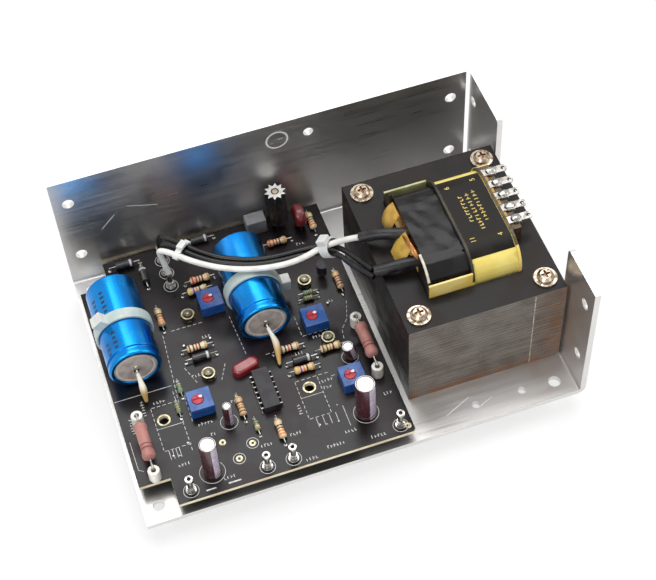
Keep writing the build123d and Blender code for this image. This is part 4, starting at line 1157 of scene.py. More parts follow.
@dataclass
class Board:
    """The circuit board with its print, pads and solder."""

    print_thickness: float = 0.03
    line: float = 0.22
    bar_width: float = 0.6
    mark_step: float = 1.25
    mark_heights: Spot = (0.9, 1.4)
    mark_line: float = 0.28
    branch_line: float = 0.25
    branch_length: float = 0.6
    branch_chance: float = 0.65
    post_ring: float = 2.95
    can_gaps: tuple[float, ...] = (0.9, 0.9, 0.8, 0.8)
    hole_ring: float = 2.3
    hole_rim: float = 0.65
    pad_radius: float = 0.95
    pad_width: float = 0.75
    pad_height: float = 0.06
    joint_size: Point = (0.55, 0.55, 0.35)
    collar_size: Point = (0.75, 0.75, 0.3)
    back_joint: float = 4.6
    back_joint_size: Point = (1.1, 1.1, 0.5)
    short_rows: tuple[tuple[tuple[float, ...], float, float], ...] = (
        ((15.9, 17.3, 18.7, 20.0), 24.3, 20.0), ((73.1, 75.7, 78.3, 80.9), 18.6, 14.3))
    dash: float = 1.5
    dash_gap: float = 0.9
    lines: tuple[Line, ...] = (
        ((1.6, 52.3), (24.7, 52.3)), ((2.8, 32.7), (2.9, 19.8)), ((2.9, 19.8), (4.7, 18.6)),
        ((84.5, 20.5), (84.5, 11.0)), ((14.2, 34.5), (24.4, 34.5)), ((70.6, 29.0), (79.4, 29.0)))
    bars: tuple[Line, ...] = (((24.6, 2.6), (28.5, 2.6)), ((33.4, 2.8), (38.3, 2.8)))
    dashed: tuple[Line, ...] = (
        ((27.7, 76.7), (24.5, 33.2)), ((14.2, 44.7), (14.2, 24.3)), ((14.2, 24.3), (25.5, 24.3)),
        ((24.4, 49.8), (24.5, 20.6)), ((14.2, 44.7), (25.5, 44.7)), ((70.5, 37.1), (70.5, 19.0)),
        ((70.5, 19.0), (79.6, 19.0)), ((79.5, 19.0), (79.5, 37.1)), ((70.5, 37.1), (84.7, 37.1)),
        ((60.6, 46.9), (60.6, 30.1)), ((54.5, 43.9), (54.5, 27.0)), ((31.1, 77.5), (44.9, 77.5)),
        ((55.4, 76.7), (56.5, 55.9)), ((31.6, 58.7), (34.8, 49.5)), ((43.9, 47.9), (47.6, 55.5)),
        ((102.4, 67.6), (99.6, 59.0)), ((99.6, 59.0), (96.0, 54.5)), ((96.0, 54.5), (95.2, 49.4)),
        ((80.0, 67.3), (80.0, 56.8)), ((80.0, 56.8), (91.5, 56.8)), ((28.0, 46.0), (37.5, 46.0)),
        ((28.0, 46.0), (28.0, 33.0)), ((63.5, 53.5), (71.5, 53.5)), ((84.5, 35.0), (97.5, 35.0)))
    spare_pads: tuple[Spot, ...] = ((46.9, 16.4), (40.2, 11.6), (105.0, 3.4), (36.2, 20.6))
    spare_holes: tuple[Spot, ...] = ((17.7, 38.0), (75.1, 32.9))
    joints: tuple[Spot, ...] = ((17.0, 21.4), (19.3, 20.6), (73.6, 15.3), (76.2, 14.6), (80.9, 14.4),
                                (23.7, 25.1), (82.6, 21.5))

    def laminate(self) -> None:
        """Dress the board: black mask on its faces and cream laminate at its edges."""
        dress("circuit_board", "board_laminate", "board_laminate",
              lambda face: MASK if abs(face.normal.z) > 0.5 else LAMINATE, 0.08, 1)

    def stroke(self, made: Making, start: Spot, end: Spot, width: float | None = None) -> None:
        """Print one solid line."""
        made.take(slab(on_board(*start), on_board(*end), width or self.line, self.print_thickness), PRINT)

    def dashes(self, made: Making, start: Spot, end: Spot) -> None:
        """Print a dashed line.

        Args:
            made: The print in the making.
            start: One end on the board.
            end: The other end.
        """
        first, last = Vector(start), Vector(end)
        span = (last - first).length
        count = max(1, round(span / (self.dash + self.dash_gap)))
        for number in range(count):
            low = first.lerp(last, (number + 0.1) / count)
            high = first.lerp(last, (number + 0.72) / count)
            self.stroke(made, tuple(low), tuple(high))

    def glyphs(self, made: Making, start: Spot, count: int, along_y: bool = False) -> None:
        """Print a row of plain marks where a part has its place number.

        Args:
            made: The print in the making.
            start: The first mark's foot on the board.
            count: How many marks.
            along_y: Whether the row runs away from the front.
        """
        generator = random.Random(round(100 * start[0] + start[1]))
        for number in range(count):
            step = self.mark_step * number
            tall = generator.uniform(*self.mark_heights)
            x, y = (start[0], start[1] + step) if along_y else (start[0] + step, start[1])
            self.stroke(made, (x, y), (x - tall, y) if along_y else (x, y + tall), self.mark_line)
            if generator.random() > 1 - self.branch_chance:
                level = generator.uniform(0.0, tall)
                near = (x - level, y) if along_y else (x, y + level)
                far = (near[0], y + self.branch_length) if along_y else (x + self.branch_length, near[1])
                self.stroke(made, near, far, self.branch_line)

    def outlines(self, made: Making) -> None:
        """Print the long lines and the dashed outlines round the open places.

        Args:
            made: The print in the making.
        """
        for start, end in self.lines:
            self.stroke(made, start, end)
        for start, end in self.bars:
            self.stroke(made, start, end, self.bar_width)
        for start, end in self.dashed:
            self.dashes(made, start, end)
        for row, start, end in self.short_rows:
            for x in row:
                self.stroke(made, (x, start), (x, end))

    def labels(self, made: Making) -> None:
        """Print plain marks beside the parts.

        Args:
            made: The print in the making.
        """
        for start, count in (((16.0, 46.0), 4), ((29.8, 30.6), 5), ((17.9, 15.8), 4), ((32.5, 4.6), 4),
                             ((80.6, 33.2), 4), ((80.4, 30.0), 3), ((81.7, 8.2), 4), ((73.2, 4.2), 6),
                             ((90.3, 2.6), 5), ((64.0, 1.6), 4), ((61.6, 14.2), 4), ((49.7, 13.2), 4),
                             ((74.9, 48.9), 3), ((101.4, 19.4), 3), ((33.6, 52.8), 3), ((84.0, 54.2), 3),
                             ((42.5, 69.6), 3), ((95.6, 69.0), 2), ((33.2, 24.8), 2), ((44.6, 36.5), 3),
                             ((63.4, 106.5), 3), ((92.5, 101.5), 3)):
            self.glyphs(made, start, count)
        for start, count in (((12.0, 42.4), 6), ((69.0, 22.5), 4), ((6.0, 36.0), 6)):
            self.glyphs(made, start, count, along_y=True)

    def rings(self, made: Making) -> None:
        """Print rings round the turrets, cans and standing parts.

        Args:
            made: The print in the making.
        """
        rise = self.print_thickness
        for low, high in islands("terminal_posts"):
            middle = (low + high) / 2
            foot = Vector((middle.x, middle.y, board_top()))
            made.take(ring(foot, self.post_ring, self.line, rise), PRINT)
        for number, gap in enumerate(self.can_gaps, 1):
            low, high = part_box(f"electrolytic_{number}")
            middle = (low + high) / 2
            radius = (high.y - low.y) / 2 / MM + gap
            made.take(ring(Vector((middle.x, middle.y, board_top())), radius, self.line, rise), PRINT)
        for x, y in self.spare_pads[:2]:
            made.take(ring(on_board(x, y), self.hole_ring, self.line, rise), PRINT)

    def pads(self) -> None:
        """Lay tinned pads at the open holes and small solder collars round the parts' leads."""
        made = Making()
        for x, y in self.spare_pads:
            made.take(ring(on_board(x, y), self.pad_radius, self.pad_width, self.pad_height), TAN_PLATE_AND_HIGHLIGHT)
        for x, y in self.spare_holes:
            made.take(ring(on_board(x, y), self.hole_ring, self.hole_rim, self.pad_height), TAN_PLATE_AND_HIGHLIGHT)
        for x, y in self.joints:
            made.take(lump(on_board(x, y, 0.05), self.joint_size, x), SOLDER_AND_HIGHLIGHT)
        for node in ("carbon_resistors", "green_resistors", "diodes"):
            for low, high in islands(node):
                for end in axial_ends(low, high, LEAD_PITCH[node]):
                    collar = Vector((end.x, end.y, board_top() + 0.02 * MM))
                    made.take(lump(collar, self.collar_size, end.x / MM), SOLDER_AND_HIGHLIGHT)
        for node in ("filter_capacitor_left", "filter_capacitor_right"):
            low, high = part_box(node)
            foot = Vector(((low.x + high.x) / 2, high.y + self.back_joint * MM, board_top()))
            made.take(lump(foot, self.back_joint_size, 3.0), SOLDER_AND_HIGHLIGHT)
        made.piece("board_solder", "tinned_copper")

    def build(self) -> None:
        """Build the board's laminate, print and pads."""
        self.laminate()
        made = Making()
        self.outlines(made)
        self.labels(made)
        self.rings(made)
        made.piece("board_print", "board_laminate")
        self.pads()


LEAD_PITCH = {"carbon_resistors": 12.7, "green_resistors": 8.4, "diodes": 12.7}


def axial_ends(low: Vector, high: Vector, pitch: float) -> tuple[Vector, Vector]:
    """Return where the two leads of an axial part meet the board.

    Args:
        low: The lowest corner of its solid.
        high: The highest corner of its solid.
        pitch: The distance between the leads in millimetres.

    Returns:
        The two places, lower first.
    """
    middle = (low + high) / 2
    reach = pitch / 2 * MM
    half = Vector((reach, 0, 0)) if high.x - low.x > high.y - low.y else Vector((0, reach, 0))
    foot = Vector((middle.x, middle.y, low.z))
    return foot - half, foot + half


@dataclass
class AxialFamily:
    """Small parts with a turned body and a lead at each end."""

    node: str
    name: str
    slot: str
    profile: tuple[Spot, ...]
    bands: tuple[tuple[float, float], ...]
    bodies: tuple[Finish, ...]
    codes: tuple[tuple[Finish, ...], ...]
    lift: float

    def band_profile(self) -> list[Spot]:
        """Return the profile with extra points at the edges of each band.

        Returns:
            Pairs of a place along the axis and a radius.
        """
        stations = sorted({along for along, radius in self.profile}
                          | {middle + side * width / 2 for middle, width in self.bands for side in (-1, 1)})
        points = []
        for along in stations:
            for (first, low), (second, high) in zip(self.profile, self.profile[1:]):
                if first <= along <= second and second > first:
                    points.append((along, low + (high - low) * (along - first) / (second - first)))
                    break
        return [(self.profile[0][0], 0.0), *points, (self.profile[-1][0], 0.0)]

    def build(self) -> None:
        """Build every part of this family where its solid lies."""
        bodies, wires = Making(), Making()
        for number, (low, high) in enumerate(islands(self.node)):
            start, end = axial_ends(low, high, LEAD_PITCH[self.node])
            along_x = high.x - low.x > high.y - low.y
            axis_z = board_top() + self.lift * MM
            middle = Vector(((start.x + end.x) / 2, (start.y + end.y) / 2, axis_z))
            place = Matrix.Translation(middle) @ Matrix.Rotation(0.0 if along_x else math.pi / 2, 4, "Z")
            code = self.codes[number % len(self.codes)]
            body = self.bodies[number % len(self.bodies)]
            part = lathe(self.band_profile(), Matrix.Identity(4))
            made = Making().take(part, lambda face, code=code, body=body: self.pick(face, code, body))
            made.bm.transform(place)
            finishes = made.finishes
            bodies.take(made.bm, lambda face, finishes=finishes: finishes[face.material_index])
            top = Vector((0, 0, axis_z - start.z))
            wires.take(wire((start, start + top, start + top, end + top, end + top, end), 0.6), TINNED)
        bodies.piece(self.name, self.slot, [self.node])
        wires.piece(self.name + "_wires", "tinned_copper")

    def pick(self, face: bmesh.types.BMFace, code: tuple[Finish, ...], body: Finish) -> Finish:
        """Return the band's finish where the face lies in a band, or the body's.

        Args:
            face: A face of the turned body, before it is placed.
            code: The finishes of its bands.
            body: The finish between them.

        Returns:
            The face's finish.
        """
        along = face.calc_center_median().x / MM
        for (middle, width), paint in zip(self.bands, code):
            if abs(along - middle) < width / 2:
                return paint
        return body


def codes(*rows: str) -> tuple[tuple[Finish, ...], ...]:
    """Return the finishes of each row of band names."""
    return tuple(tuple(Band[name.upper()].finish() for name in row.split()) for row in rows)


def mirrored(half: Sequence[Spot]) -> tuple[Spot, ...]:
    """Return a whole profile from its half on the far side of the middle."""
    return (*((-along, radius) for along, radius in reversed(half)), *half)


CARBON_PROFILE = mirrored(((1.6, 1.26), (2.1, 1.34), (2.55, 1.54), (3.1, 1.6), (3.7, 1.45), (4.05, 1.0),
                           (4.2, 0.45)))
GREEN_PROFILE = mirrored(((1.0, 1.0), (1.3, 1.15), (1.75, 1.1), (2.05, 0.85), (2.2, 0.4)))
DIODE_PROFILE = mirrored(((3.45, 1.55), (3.65, 1.35), (3.7, 0.5)))
CARBON_FAMILY = AxialFamily(
    "carbon_resistors", "carbon_resistor_set", "carbon_tan", CARBON_PROFILE,
    ((-3.15, 0.7), (-1.5, 0.65), (-0.25, 0.65), (1.0, 0.65), (3.2, 0.6)),
    (CARBON, CREAM_BODY, CREAM_BODY, CARBON),
    codes("orange orange brown black gold", "brown black red black gold", "yellow violet orange black gold",
          "red red brown black gold", "brown green orange black gold"), 1.9)
GREEN_FAMILY = AxialFamily(
    "green_resistors", "green_resistor_set", "resistor_green", GREEN_PROFILE,
    ((-1.6, 0.35), (-0.7, 0.35), (0.0, 0.35), (0.7, 0.35), (1.6, 0.35)), (GREEN_BODY,),
    codes("brown black red black brown", "green blue brown black brown", "orange white red black brown"),
    1.45)
DIODE_FAMILY = AxialFamily("diodes", "diode_set", "diode_black", DIODE_PROFILE, ((2.5, 0.9),), (DIODE,),
                           ((DIODE_BAND,),), 1.85)


@dataclass
class PowerResistors:
    """Two pink power resistors held up by ceramic beads."""

    slim: float = 0.8
    lift: float = 6.8
    profile: tuple[Spot, ...] = mirrored(((4.4, 2.9), (4.9, 3.0), (5.6, 3.25), (6.6, 3.25), (7.4, 3.0),
                                          (7.85, 2.2), (8.0, 0.5)))
    bands: tuple[Spot, ...] = ((-3.9, 0.7), (-2.2, 0.5))
    bead: tuple[Spot, ...] = ((0, 0.9), (0, 2.05), (0.3, 2.35), (5.6, 2.35), (5.9, 2.2), (6.0, 1.9),
                              (6.0, 1.1), (5.75, 0.9), (0, 0.9))

    def build(self) -> None:
        """Build both resistors and their beads."""
        paints = (PINK_BAND, PINK_BAND)
        family = AxialFamily("", "", "", self.profile, self.bands, (PINK,), (paints,), self.lift)
        for side in ("left", "right"):
            node = "power_resistor_" + side
            low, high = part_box(node)
            middle = (low + high) / 2
            axis_z = board_top() + self.lift * MM
            place = Matrix.Translation((middle.x, middle.y, axis_z)) @ Matrix.Rotation(math.pi / 2, 4, "Z")
            part = lathe(family.band_profile(), Matrix.Identity(4), 40)
            made = Making().take(part, lambda face: family.pick(face, paints, PINK))
            made.bm.transform(place @ Matrix.Diagonal((1.0, self.slim, self.slim, 1.0)))
            start, end = axial_ends(low, high, (high.y - low.y) / MM - 0.8)
            top = Vector((0, 0, axis_z - start.z))
            made.take(wire((start, start + top, start + top, end + top, end + top, end), 0.8), TINNED)
            made.piece(node + "_body", "resistor_pink", [node])
        beads = Making()
        for low, high in islands("resistor_beads"):
            middle = (low + high) / 2
            place = Matrix.Translation((middle.x, middle.y, low.z)) @ UPRIGHT
            beads.take(lathe(self.bead, place, 32), CERAMIC)
        beads.piece("resistor_bead_set", "bead_ceramic", ["resistor_beads"])


@dataclass
class SmallParts:
    """The other parts on the board."""

    stripe_turn: float = math.radians(-62.0)
    stripe_half: float = math.radians(26.0)
    widths: tuple[float, ...] = (0.84, 1.0, 0.74, 1.0)
    leans: tuple[float, ...] = (0.0, 0.0, 0.0, math.radians(-12.0))
    cap_inset: float = 0.35
    cap_depth: float = 0.25
    pin_reach: float = 1.15
    disc_scale: Point = (1.2, 1.2, 1.12)

    def upright(self, number: int) -> None:
        """Dress one standing capacitor: sleeve, stripe and a sunk top.

        Args:
            number: Its number, from 1.
        """
        node = f"electrolytic_{number}"
        bm = rounded_node(node, 0.1)
        low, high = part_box(node)
        foot = ((low.x + high.x) / 2, (low.y + high.y) / 2, 0)
        slim = self.widths[number - 1]
        bm.transform(scaled_about(foot, (slim, slim, 1.0)))
        lean = self.leans[number - 1]
        axis = Vector((math.sin(lean), 0, math.cos(lean)))
        tops = sorted((face for face in bm.faces if face.normal.dot(axis) > 0.95),
                      key=lambda face: face.calc_area())
        top = tops[-1]
        highest = max((face for face in tops if face.calc_area() > 0.2 * top.calc_area()),
                      key=lambda face: face.calc_center_median().dot(axis))
        bmesh.ops.inset_region(bm, faces=[highest], thickness=self.cap_inset * MM,
                               depth=-self.cap_depth * MM)
        cap_level = highest.calc_center_median().dot(axis)

        def pick(face: bmesh.types.BMFace) -> Finish:
            """Return the finish of a face by where it looks."""
            if face.normal.dot(axis) > 0.9 and face.calc_center_median().dot(axis) > cap_level - 0.6 * MM:
                return PALE_TOP
            turn = math.atan2(face.normal.y, face.normal.x)
            pale = abs((turn - self.stripe_turn + math.pi) % FULL_TURN - math.pi) < self.stripe_half
            return LAVENDER if pale and abs(face.normal.dot(axis)) < 0.5 else MAROON

        Making().take(bm, pick).piece(node + "_can", "electrolytic_sleeve", [node])

    def chip(self) -> None:
        """Dress the integrated circuit."""
        low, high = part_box("regulator_chip")
        inset = self.pin_reach * MM
        made = Making().take(rounded_node("regulator_chip", 0.12, 2), lambda face: CHIP if
                             low.x + inset < face.calc_center_median().x < high.x - inset else TINNED)
        dot = Vector((low.x + 2.4 * MM, high.y - 1.5 * MM, high.z))
        made.take(ring(dot, 0.45, 0.3, 0.03, 20), MASK)
        made.piece("regulator_chip_case", "chip_black", ["regulator_chip"])

    def cooler(self) -> None:
        """Dress the star cooler and the transistor in it."""
        low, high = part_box("star_cooler")
        tops = high.z - 1.0 * MM
        made = Making().take(rounded_node("star_cooler", 0.12), lambda face: FIN_TOP if
                             face.normal.z > 0.6 and face.calc_center_median().z > tops else FINS)
        middle = Matrix.Translation(((low.x + high.x) / 2, (low.y + high.y) / 2, high.z))
        top = middle @ UPRIGHT
        made.take(lathe(((0.0, 0.0), (0.0, 1.7), (0.04, 1.7), (0.04, 0.0)), top, 24), CHIP)
        made.take(lathe(((0.04, 0.0), (0.04, 1.15), (0.12, 1.0), (0.16, 0.0)), top, 24), GOLD_CAN)
        made.piece("star_cooler_fins", "cooler_aluminium", ["star_cooler"])
        dress("driver_transistor", "driver_transistor_can", "driver_can", GOLD_CAN, 0.1)

    def build(self) -> None:
        """Build the small parts."""
        for family in (CARBON_FAMILY, GREEN_FAMILY, DIODE_FAMILY):
            family.build()
        PowerResistors().build()
        for number in range(1, 5):
            self.upright(number)
        self.chip()
        self.cooler()
        for node, width, finish, slot in (("dipped_capacitor", 0.4, DIPPED, "dipped_red"),
                                          ("standing_capacitor", 0.1, DISC, "disc_red"),
                                          ("film_capacitor", 0.4, FILM, "film_grey"),
                                          ("small_transistor", 0.2, CHIP, "chip_black")):
            bm = rounded_node(node, width, 3)
            if node == "standing_capacitor":
                low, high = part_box(node)
                foot = ((low.x + high.x) / 2, (low.y + high.y) / 2, low.z)
                bm.transform(scaled_about(foot, self.disc_scale))
            Making().take(bm, finish).piece(node + "_case", slot, [node])


@dataclass
class Trimmers:
    """Four blue trimmers with red rotors."""

    count: int = 4
    mark_start: float = 1.6
    mark_pitch: float = 1.25
    mark_heights: tuple[float, ...] = (0.9, 1.6, 1.2, 1.7, 1.0, 1.5)
    mark_level: float = 3.0
    # Place and size of the painted glint on each rotor.
    glint_place: Spot = (1.35, 0.95)
    glint_size: Point = (0.75, 0.6, 0.14)

    def build(self) -> None:
        """Build each body with its marks and each rotor with a painted glint: a white lump."""
        for number in range(1, self.count + 1):
            low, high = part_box(f"trimmer_body_{number}")
            made = Making().take(rounded_node(f"trimmer_body_{number}", 0.25), TRIMMER_BLUE)
            for step, tall in enumerate(self.mark_heights):
                place = (low.x + (self.mark_start + self.mark_pitch * step) * MM, low.y - 0.015 * MM,
                         low.z + self.mark_level * MM)
                made.take(block((0.35, 0.04, tall), Matrix.Translation(place)), SLEEVE_INK)
            made.piece(f"trimmer_case_{number}", "trimmer_case", [f"trimmer_body_{number}"])
            node = f"trimmer_rotor_{number}"
            low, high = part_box(node)
            rotor = Making().take(rounded_node(node, 0.15), ROTOR_RED)
            middle = (low + high) / 2
            # A white lump on the rotor is a painted glint.
            glint = Vector((*(middle.xy + Vector(self.glint_place) * MM), high.z))
            rotor.take(lump(glint, self.glint_size, number), PAINTED_GLINT)
            rotor.piece(f"trimmer_disc_{number}", "rotor_red", [node], body=f"rotor_{number}")


@dataclass
class FilterCapacitors:
    """Two large blue capacitors lying on the board, with their seals, leads and straps."""

    radius: float = 10.5
    rim_radius: float = 7.2
    sleeve_start: float = 2.2
    sleeve_diameter: float = 2.8
    sleeve_shares: tuple[float, ...] = (0.5, 0.62, 1.0, 1.0, 0.75, 0.5)
    seal_sink: float = 0.12
    rim: tuple[Spot, ...] = ((0.0, 7.0), (0.3, 7.2), (0.35, 7.8), (0.0, 8.0), (0.0, 7.0))
    nub: tuple[Spot, ...] = ((0.0, 0.0), (0.0, 1.35), (0.6, 1.15), (0.9, 0.7), (0.9, 0.0))
    mark_rows: tuple[tuple[float, float, int], ...] = ((118.0, 6.0, 4), (118.0, 24.0, 5), (140.0, 5.0, 3),
                                                       (143.0, 25.0, 4))
    mark_pitch: float = 2.3
    mark_widths: Spot = (5.0, 6.5)
    mark_steps: int = 6
    head_off: float = 2.0
    bends: tuple[tuple[Point, Point], ...] = (((13.6, 49.8, 7.5), (13.6, 48.0, 1.2)),
                                              ((68.4, 52.6, 7.0), (67.4, 46.6, 1.2)))

    def marks(self, made: Making, side: str) -> None:
        """Print dark bars on the sleeve, wrapped round it.

        Args:
            made: The capacitor in the making.
            side: Which capacitor.
        """
        low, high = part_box("filter_capacitor_" + side)
        middle = (low + high) / 2
        for turn, start, count in self.mark_rows:
            for number in range(count):
                along = start + self.mark_pitch * number
                self.bar(made, middle, low.y, turn, along, self.mark_widths[number % 2])

    def bar(self, made: Making, middle: Vector, front: float, turn: float, along: float,
            wide: float) -> None:
        """Print one bar across the sleeve, turned from the right-hand side over the top.

        Args:
            made: The capacitor in the making.
            middle: The can's middle.
            front: The y of the can's front end.
            turn: Degrees from the right-hand side.
            along: Millimetres from the front end.
            wide: The bar's width in millimetres.
        """
        for step in range(self.mark_steps):
            angle = math.radians(turn + wide * 1.6 * (step / self.mark_steps - 0.5))
            outward = Vector((math.cos(angle), 0, math.sin(angle)))
            centre = Vector((middle.x, front + along * MM, middle.z)) + outward * (self.radius + 0.01) * MM
            place = Matrix.Translation(centre) @ Matrix.Rotation(math.pi / 2 - angle, 4, "Y")
            made.take(block((0.42, 1.15, 0.04), place), SLEEVE_INK)

    def build(self) -> None:
        """Build both capacitors and what goes with them."""
        for side in ("left", "right"):
            node = "filter_capacitor_" + side
            made = Making().take(rounded_node(node, 0.25, 2, 50.0), BLUE_SLEEVE)
            if side == "left":
                self.marks(made, side)
            made.piece(node + "_sleeve", "capacitor_sleeve", [node])
            tie = "capacitor_tie_" + side
            dress(tie, tie + "_strap", "natural_nylon", self.tie_finish(side), 0.35, 3)
        dress("capacitor_leads", "capacitor_leads_set", "tinned_copper", TINNED, 0.12)
        self.seals()
        self.sleeves()

    def tie_finish(self, side: str) -> FinishOf:
        """Return the chooser of a tie's finish: its head is whiter than its band.

        Args:
            side: Which capacitor the tie holds.

        Returns:
            The chooser.
        """
        low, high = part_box("filter_capacitor_" + side)
        middle = (low + high) / 2

        def pick(face: bmesh.types.BMFace) -> Finish:
            """Return the head's finish where the face stands well off the can."""
            centre = face.calc_center_median()
            off = Vector((centre.x - middle.x, 0, centre.z - middle.z)).length
            return WHITE_NYLON if off > (self.radius + self.head_off) * MM else NATURAL

        return pick

    def seals(self) -> None:
        """Dress the end seals: a paler rim round each."""
        boxes = islands("capacitor_seals")
        middles = [(low + high) / 2 for low, high in boxes]

        def pick(face: bmesh.types.BMFace) -> Finish:
            """Return the rim's finish near the seal's edge."""
            centre = face.calc_center_median()
            gap = min((Vector((centre.x, 0, centre.z)) - Vector((middle.x, 0, middle.z))).length
                      for middle in middles)
            return SEAL_RIM if gap > self.rim_radius * MM else SEAL

        made = Making().take(rounded_node("capacitor_seals", 0.2), pick)
        turn = Matrix.Rotation(-math.pi / 2, 4, "Z")
        for (low, _), middle in zip(boxes, middles):
            place = Matrix.Translation((middle.x, low.y + self.seal_sink * MM, middle.z)) @ turn
            made.take(lathe(self.rim, place, 48), SEAL_RIM)
            made.take(lathe(self.nub, place, 24), CERAMIC)
        made.piece("capacitor_seals_set", "rubber_seal", ["capacitor_seals"])

    def sleeves(self) -> None:
        """Build the sleeves on the front leads: slim, full at the bend and slim again at the foot."""
        made = Making()
        for side, (bend, foot) in zip(("left", "right"), self.bends):
            low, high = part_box("filter_capacitor_" + side)
            start = Vector(((low.x + high.x) / 2, low.y - self.sleeve_start * MM, (low.z + high.z) / 2))
            turn_place, end = on_board(*bend), on_board(*foot)
            points = (start, start.lerp(turn_place, 0.5), start.lerp(turn_place, 0.92),
                      turn_place.lerp(end, 0.25), turn_place.lerp(end, 0.6), end)
            made.take(wire(points, self.sleeve_diameter, self.sleeve_shares), CREAM_SLEEVE)
        made.piece("lead_sleeves_set", "cream_sleeve", ["lead_sleeves"])


@dataclass
class Transformer:
    """The laminated core, its coil on the former, the lugs and the screws."""

    sheet_thickness: float = 0.635
    sheet_shift: float = 0.045
    sheet_gap: float = 0.04
    tape_steps: Point = (1.6, 2.5, 2.5)
    tape_inner: float = 0.45
    seed: int = 7
    label_start: float = 142.7
    label_bare: float = 2.6
    label_width: float = 17.5
    label_columns: tuple[Point, ...] = ((-2.6, -5.5, 7.5), (0.2, -10.0, 8.5), (3.0, -6.5, 8.5))
    lug_numbers: tuple[tuple[str, float, float], ...] = (("11", -5.6, -13.6), ("4", 5.2, -14.4),
                                                         ("6", -5.6, 13.4), ("5", 5.2, 14.2))
    number_height: float = 2.9
    ink_lift: float = 0.005
    strands: int = 7
    strand_step: float = 0.42
    strand_diameter: float = 0.3
    lug_turns: int = 4
    turn_radius: float = 2.05
    turn_pitch: float = 0.75
    turn_start: float = 3.4
    turn_squeeze: float = 0.45
    lug_drop: Point = (2.2, 1.5, 0.9)
    dark_span: Spot = (36.5, 79.5)
    left_flange_end: float = 125.3
    open_front: float = 43.6
    middle_flange: Spot = (141.2, 142.8)
    right_flange: float = 160.2
    front_wall: float = 31.5
    liner_from: float = 76.0
    dome_radius: float = 3.3
    seam_x: float = 161.8

    def lamination(self, outline: Sequence[Spot], low: float, high: float,
                   shift: Vector) -> bmesh.types.BMesh:
        """Punch one lamination from its outline in metres.

        Args:
            outline: Its corners.
            low: The height of its foot.
            high: The height of its top.
            shift: How far it lies from its place.

        Returns:
            The new mesh.
        """
        bm = bmesh.new()
        verts = [bm.verts.new((x + shift.x, y + shift.y, low)) for x, y in outline]
        face = bm.faces.new(verts)
        lifted = bmesh.ops.extrude_face_region(bm, geom=[face])["geom"]
        bmesh.ops.translate(bm, vec=(0, 0, high - low),
                            verts=[item for item in lifted if isinstance(item, bmesh.types.BMVert)])
        bmesh.ops.recalc_face_normals(bm, faces=bm.faces)
        return bm

    def side(self, face: bmesh.types.BMFace) -> Finish:
        """Return the finish of a lamination's face: bare edges at the front and right, else varnish."""
        return STEEL_EDGES if face.normal.y < -0.5 or face.normal.x > 0.5 else VARNISH

    def core(self) -> None:
        """Stack the laminations: an E and an I in each layer."""
        low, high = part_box("core_e_stack")
        end_low, end_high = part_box("core_i_stack")
        limb = end_high.x - end_low.x
        right = high.x
        window_left = low.x + limb
        e_outline = ((low.x, low.y), (right, low.y), (right, low.y + limb), (window_left, low.y + limb),
                     (window_left, low.y + 2 * limb), (right, low.y + 2 * limb), (right, high.y - 2 * limb),
                     (window_left, high.y - 2 * limb), (window_left, high.y - limb), (right, high.y - limb),
                     (right, high.y), (low.x, high.y))
        i_outline = ((end_low.x, end_low.y), (end_high.x, end_low.y), (end_high.x, end_high.y),
                     (end_low.x, end_high.y))
        count = round((high.z - low.z) / MM / self.sheet_thickness)
        generator = random.Random(self.seed)
        made = Making()
        for number in range(count):
            bottom = low.z + (high.z - low.z) * number / count
            top = low.z + (high.z - low.z) * (number + 1) / count - self.sheet_gap * MM
            last = number == count - 1
            for outline in (e_outline, i_outline):
                shift = Vector((generator.uniform(-1, 1), generator.uniform(-1, 1), 0))
                shift *= self.sheet_shift * MM * (0.3 if last else 1.0)
                made.take(self.lamination(outline, bottom, high.z if last else top, shift), self.side)
        made.piece("core_laminations", "core_steel", ["core_e_stack", "core_i_stack"], smooth=20.0)

    def seam(self) -> None:
        """Show where the two stacks meet as a pale line down the core's front."""
        low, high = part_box("core_e_stack")
        centre = Vector((corner(self.seam_x, 0).x, low.y - 0.02 * MM, (low.z + high.z) / 2))
        line = block((0.4, 0.1, (high.z - low.z) / MM - 1.5), Matrix.Translation(centre))
        Making().take(line, SEAM).piece("core_seam", "core_steel")

    def wrapped(self, node: str, finish: Finish, uneven: float) -> None:
        """Dress a tape: its ring cut into short lengths and pulled uneven by slow noise.

        Args:
            node: The CAD node.
            finish: The tape's finish, which has its slot's name.
            uneven: Millimetres that the noise moves.
        """
        bm = merged_node(node)
        low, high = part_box(node)
        if finish is BLACK_TAPE:
            reach = (high.x - corner(self.left_flange_end, 0).x) / (high.x - low.x)
            bm.transform(scaled_about((high.x, 0, 0), (reach, 1.0, 1.0)))
        for axis, step in enumerate(self.tape_steps):
            normal = Vector((axis == 0, axis == 1, axis == 2))
            place = low[axis] + step * MM
            while place < high[axis] - 0.5 * MM:
                point = Vector((0.0, 0.0, 0.0))
                point[axis] = place
                cut(bm, point, normal)
                place += step * MM
        middle = (low + high) / 2
        inner_y = (high.y - low.y) / 2 - self.tape_inner * MM
        inner_z = (high.z - low.z) / 2 - self.tape_inner * MM
        for vert in bm.verts:
            offset = vert.co - middle
            if abs(offset.y) < inner_y and abs(offset.z) < inner_z:
                continue
            outward = Vector((0, offset.y, offset.z)).normalized()
            fine = noise.noise(vert.co * 330.0) + 0.6 * noise.noise(vert.co * 900.0)
            vert.co += outward * (fine - 0.6) * 0.5 * uneven * MM
        Making().take(bm, finish).piece(node + "_wrap", finish.name, [node], smooth=60.0)

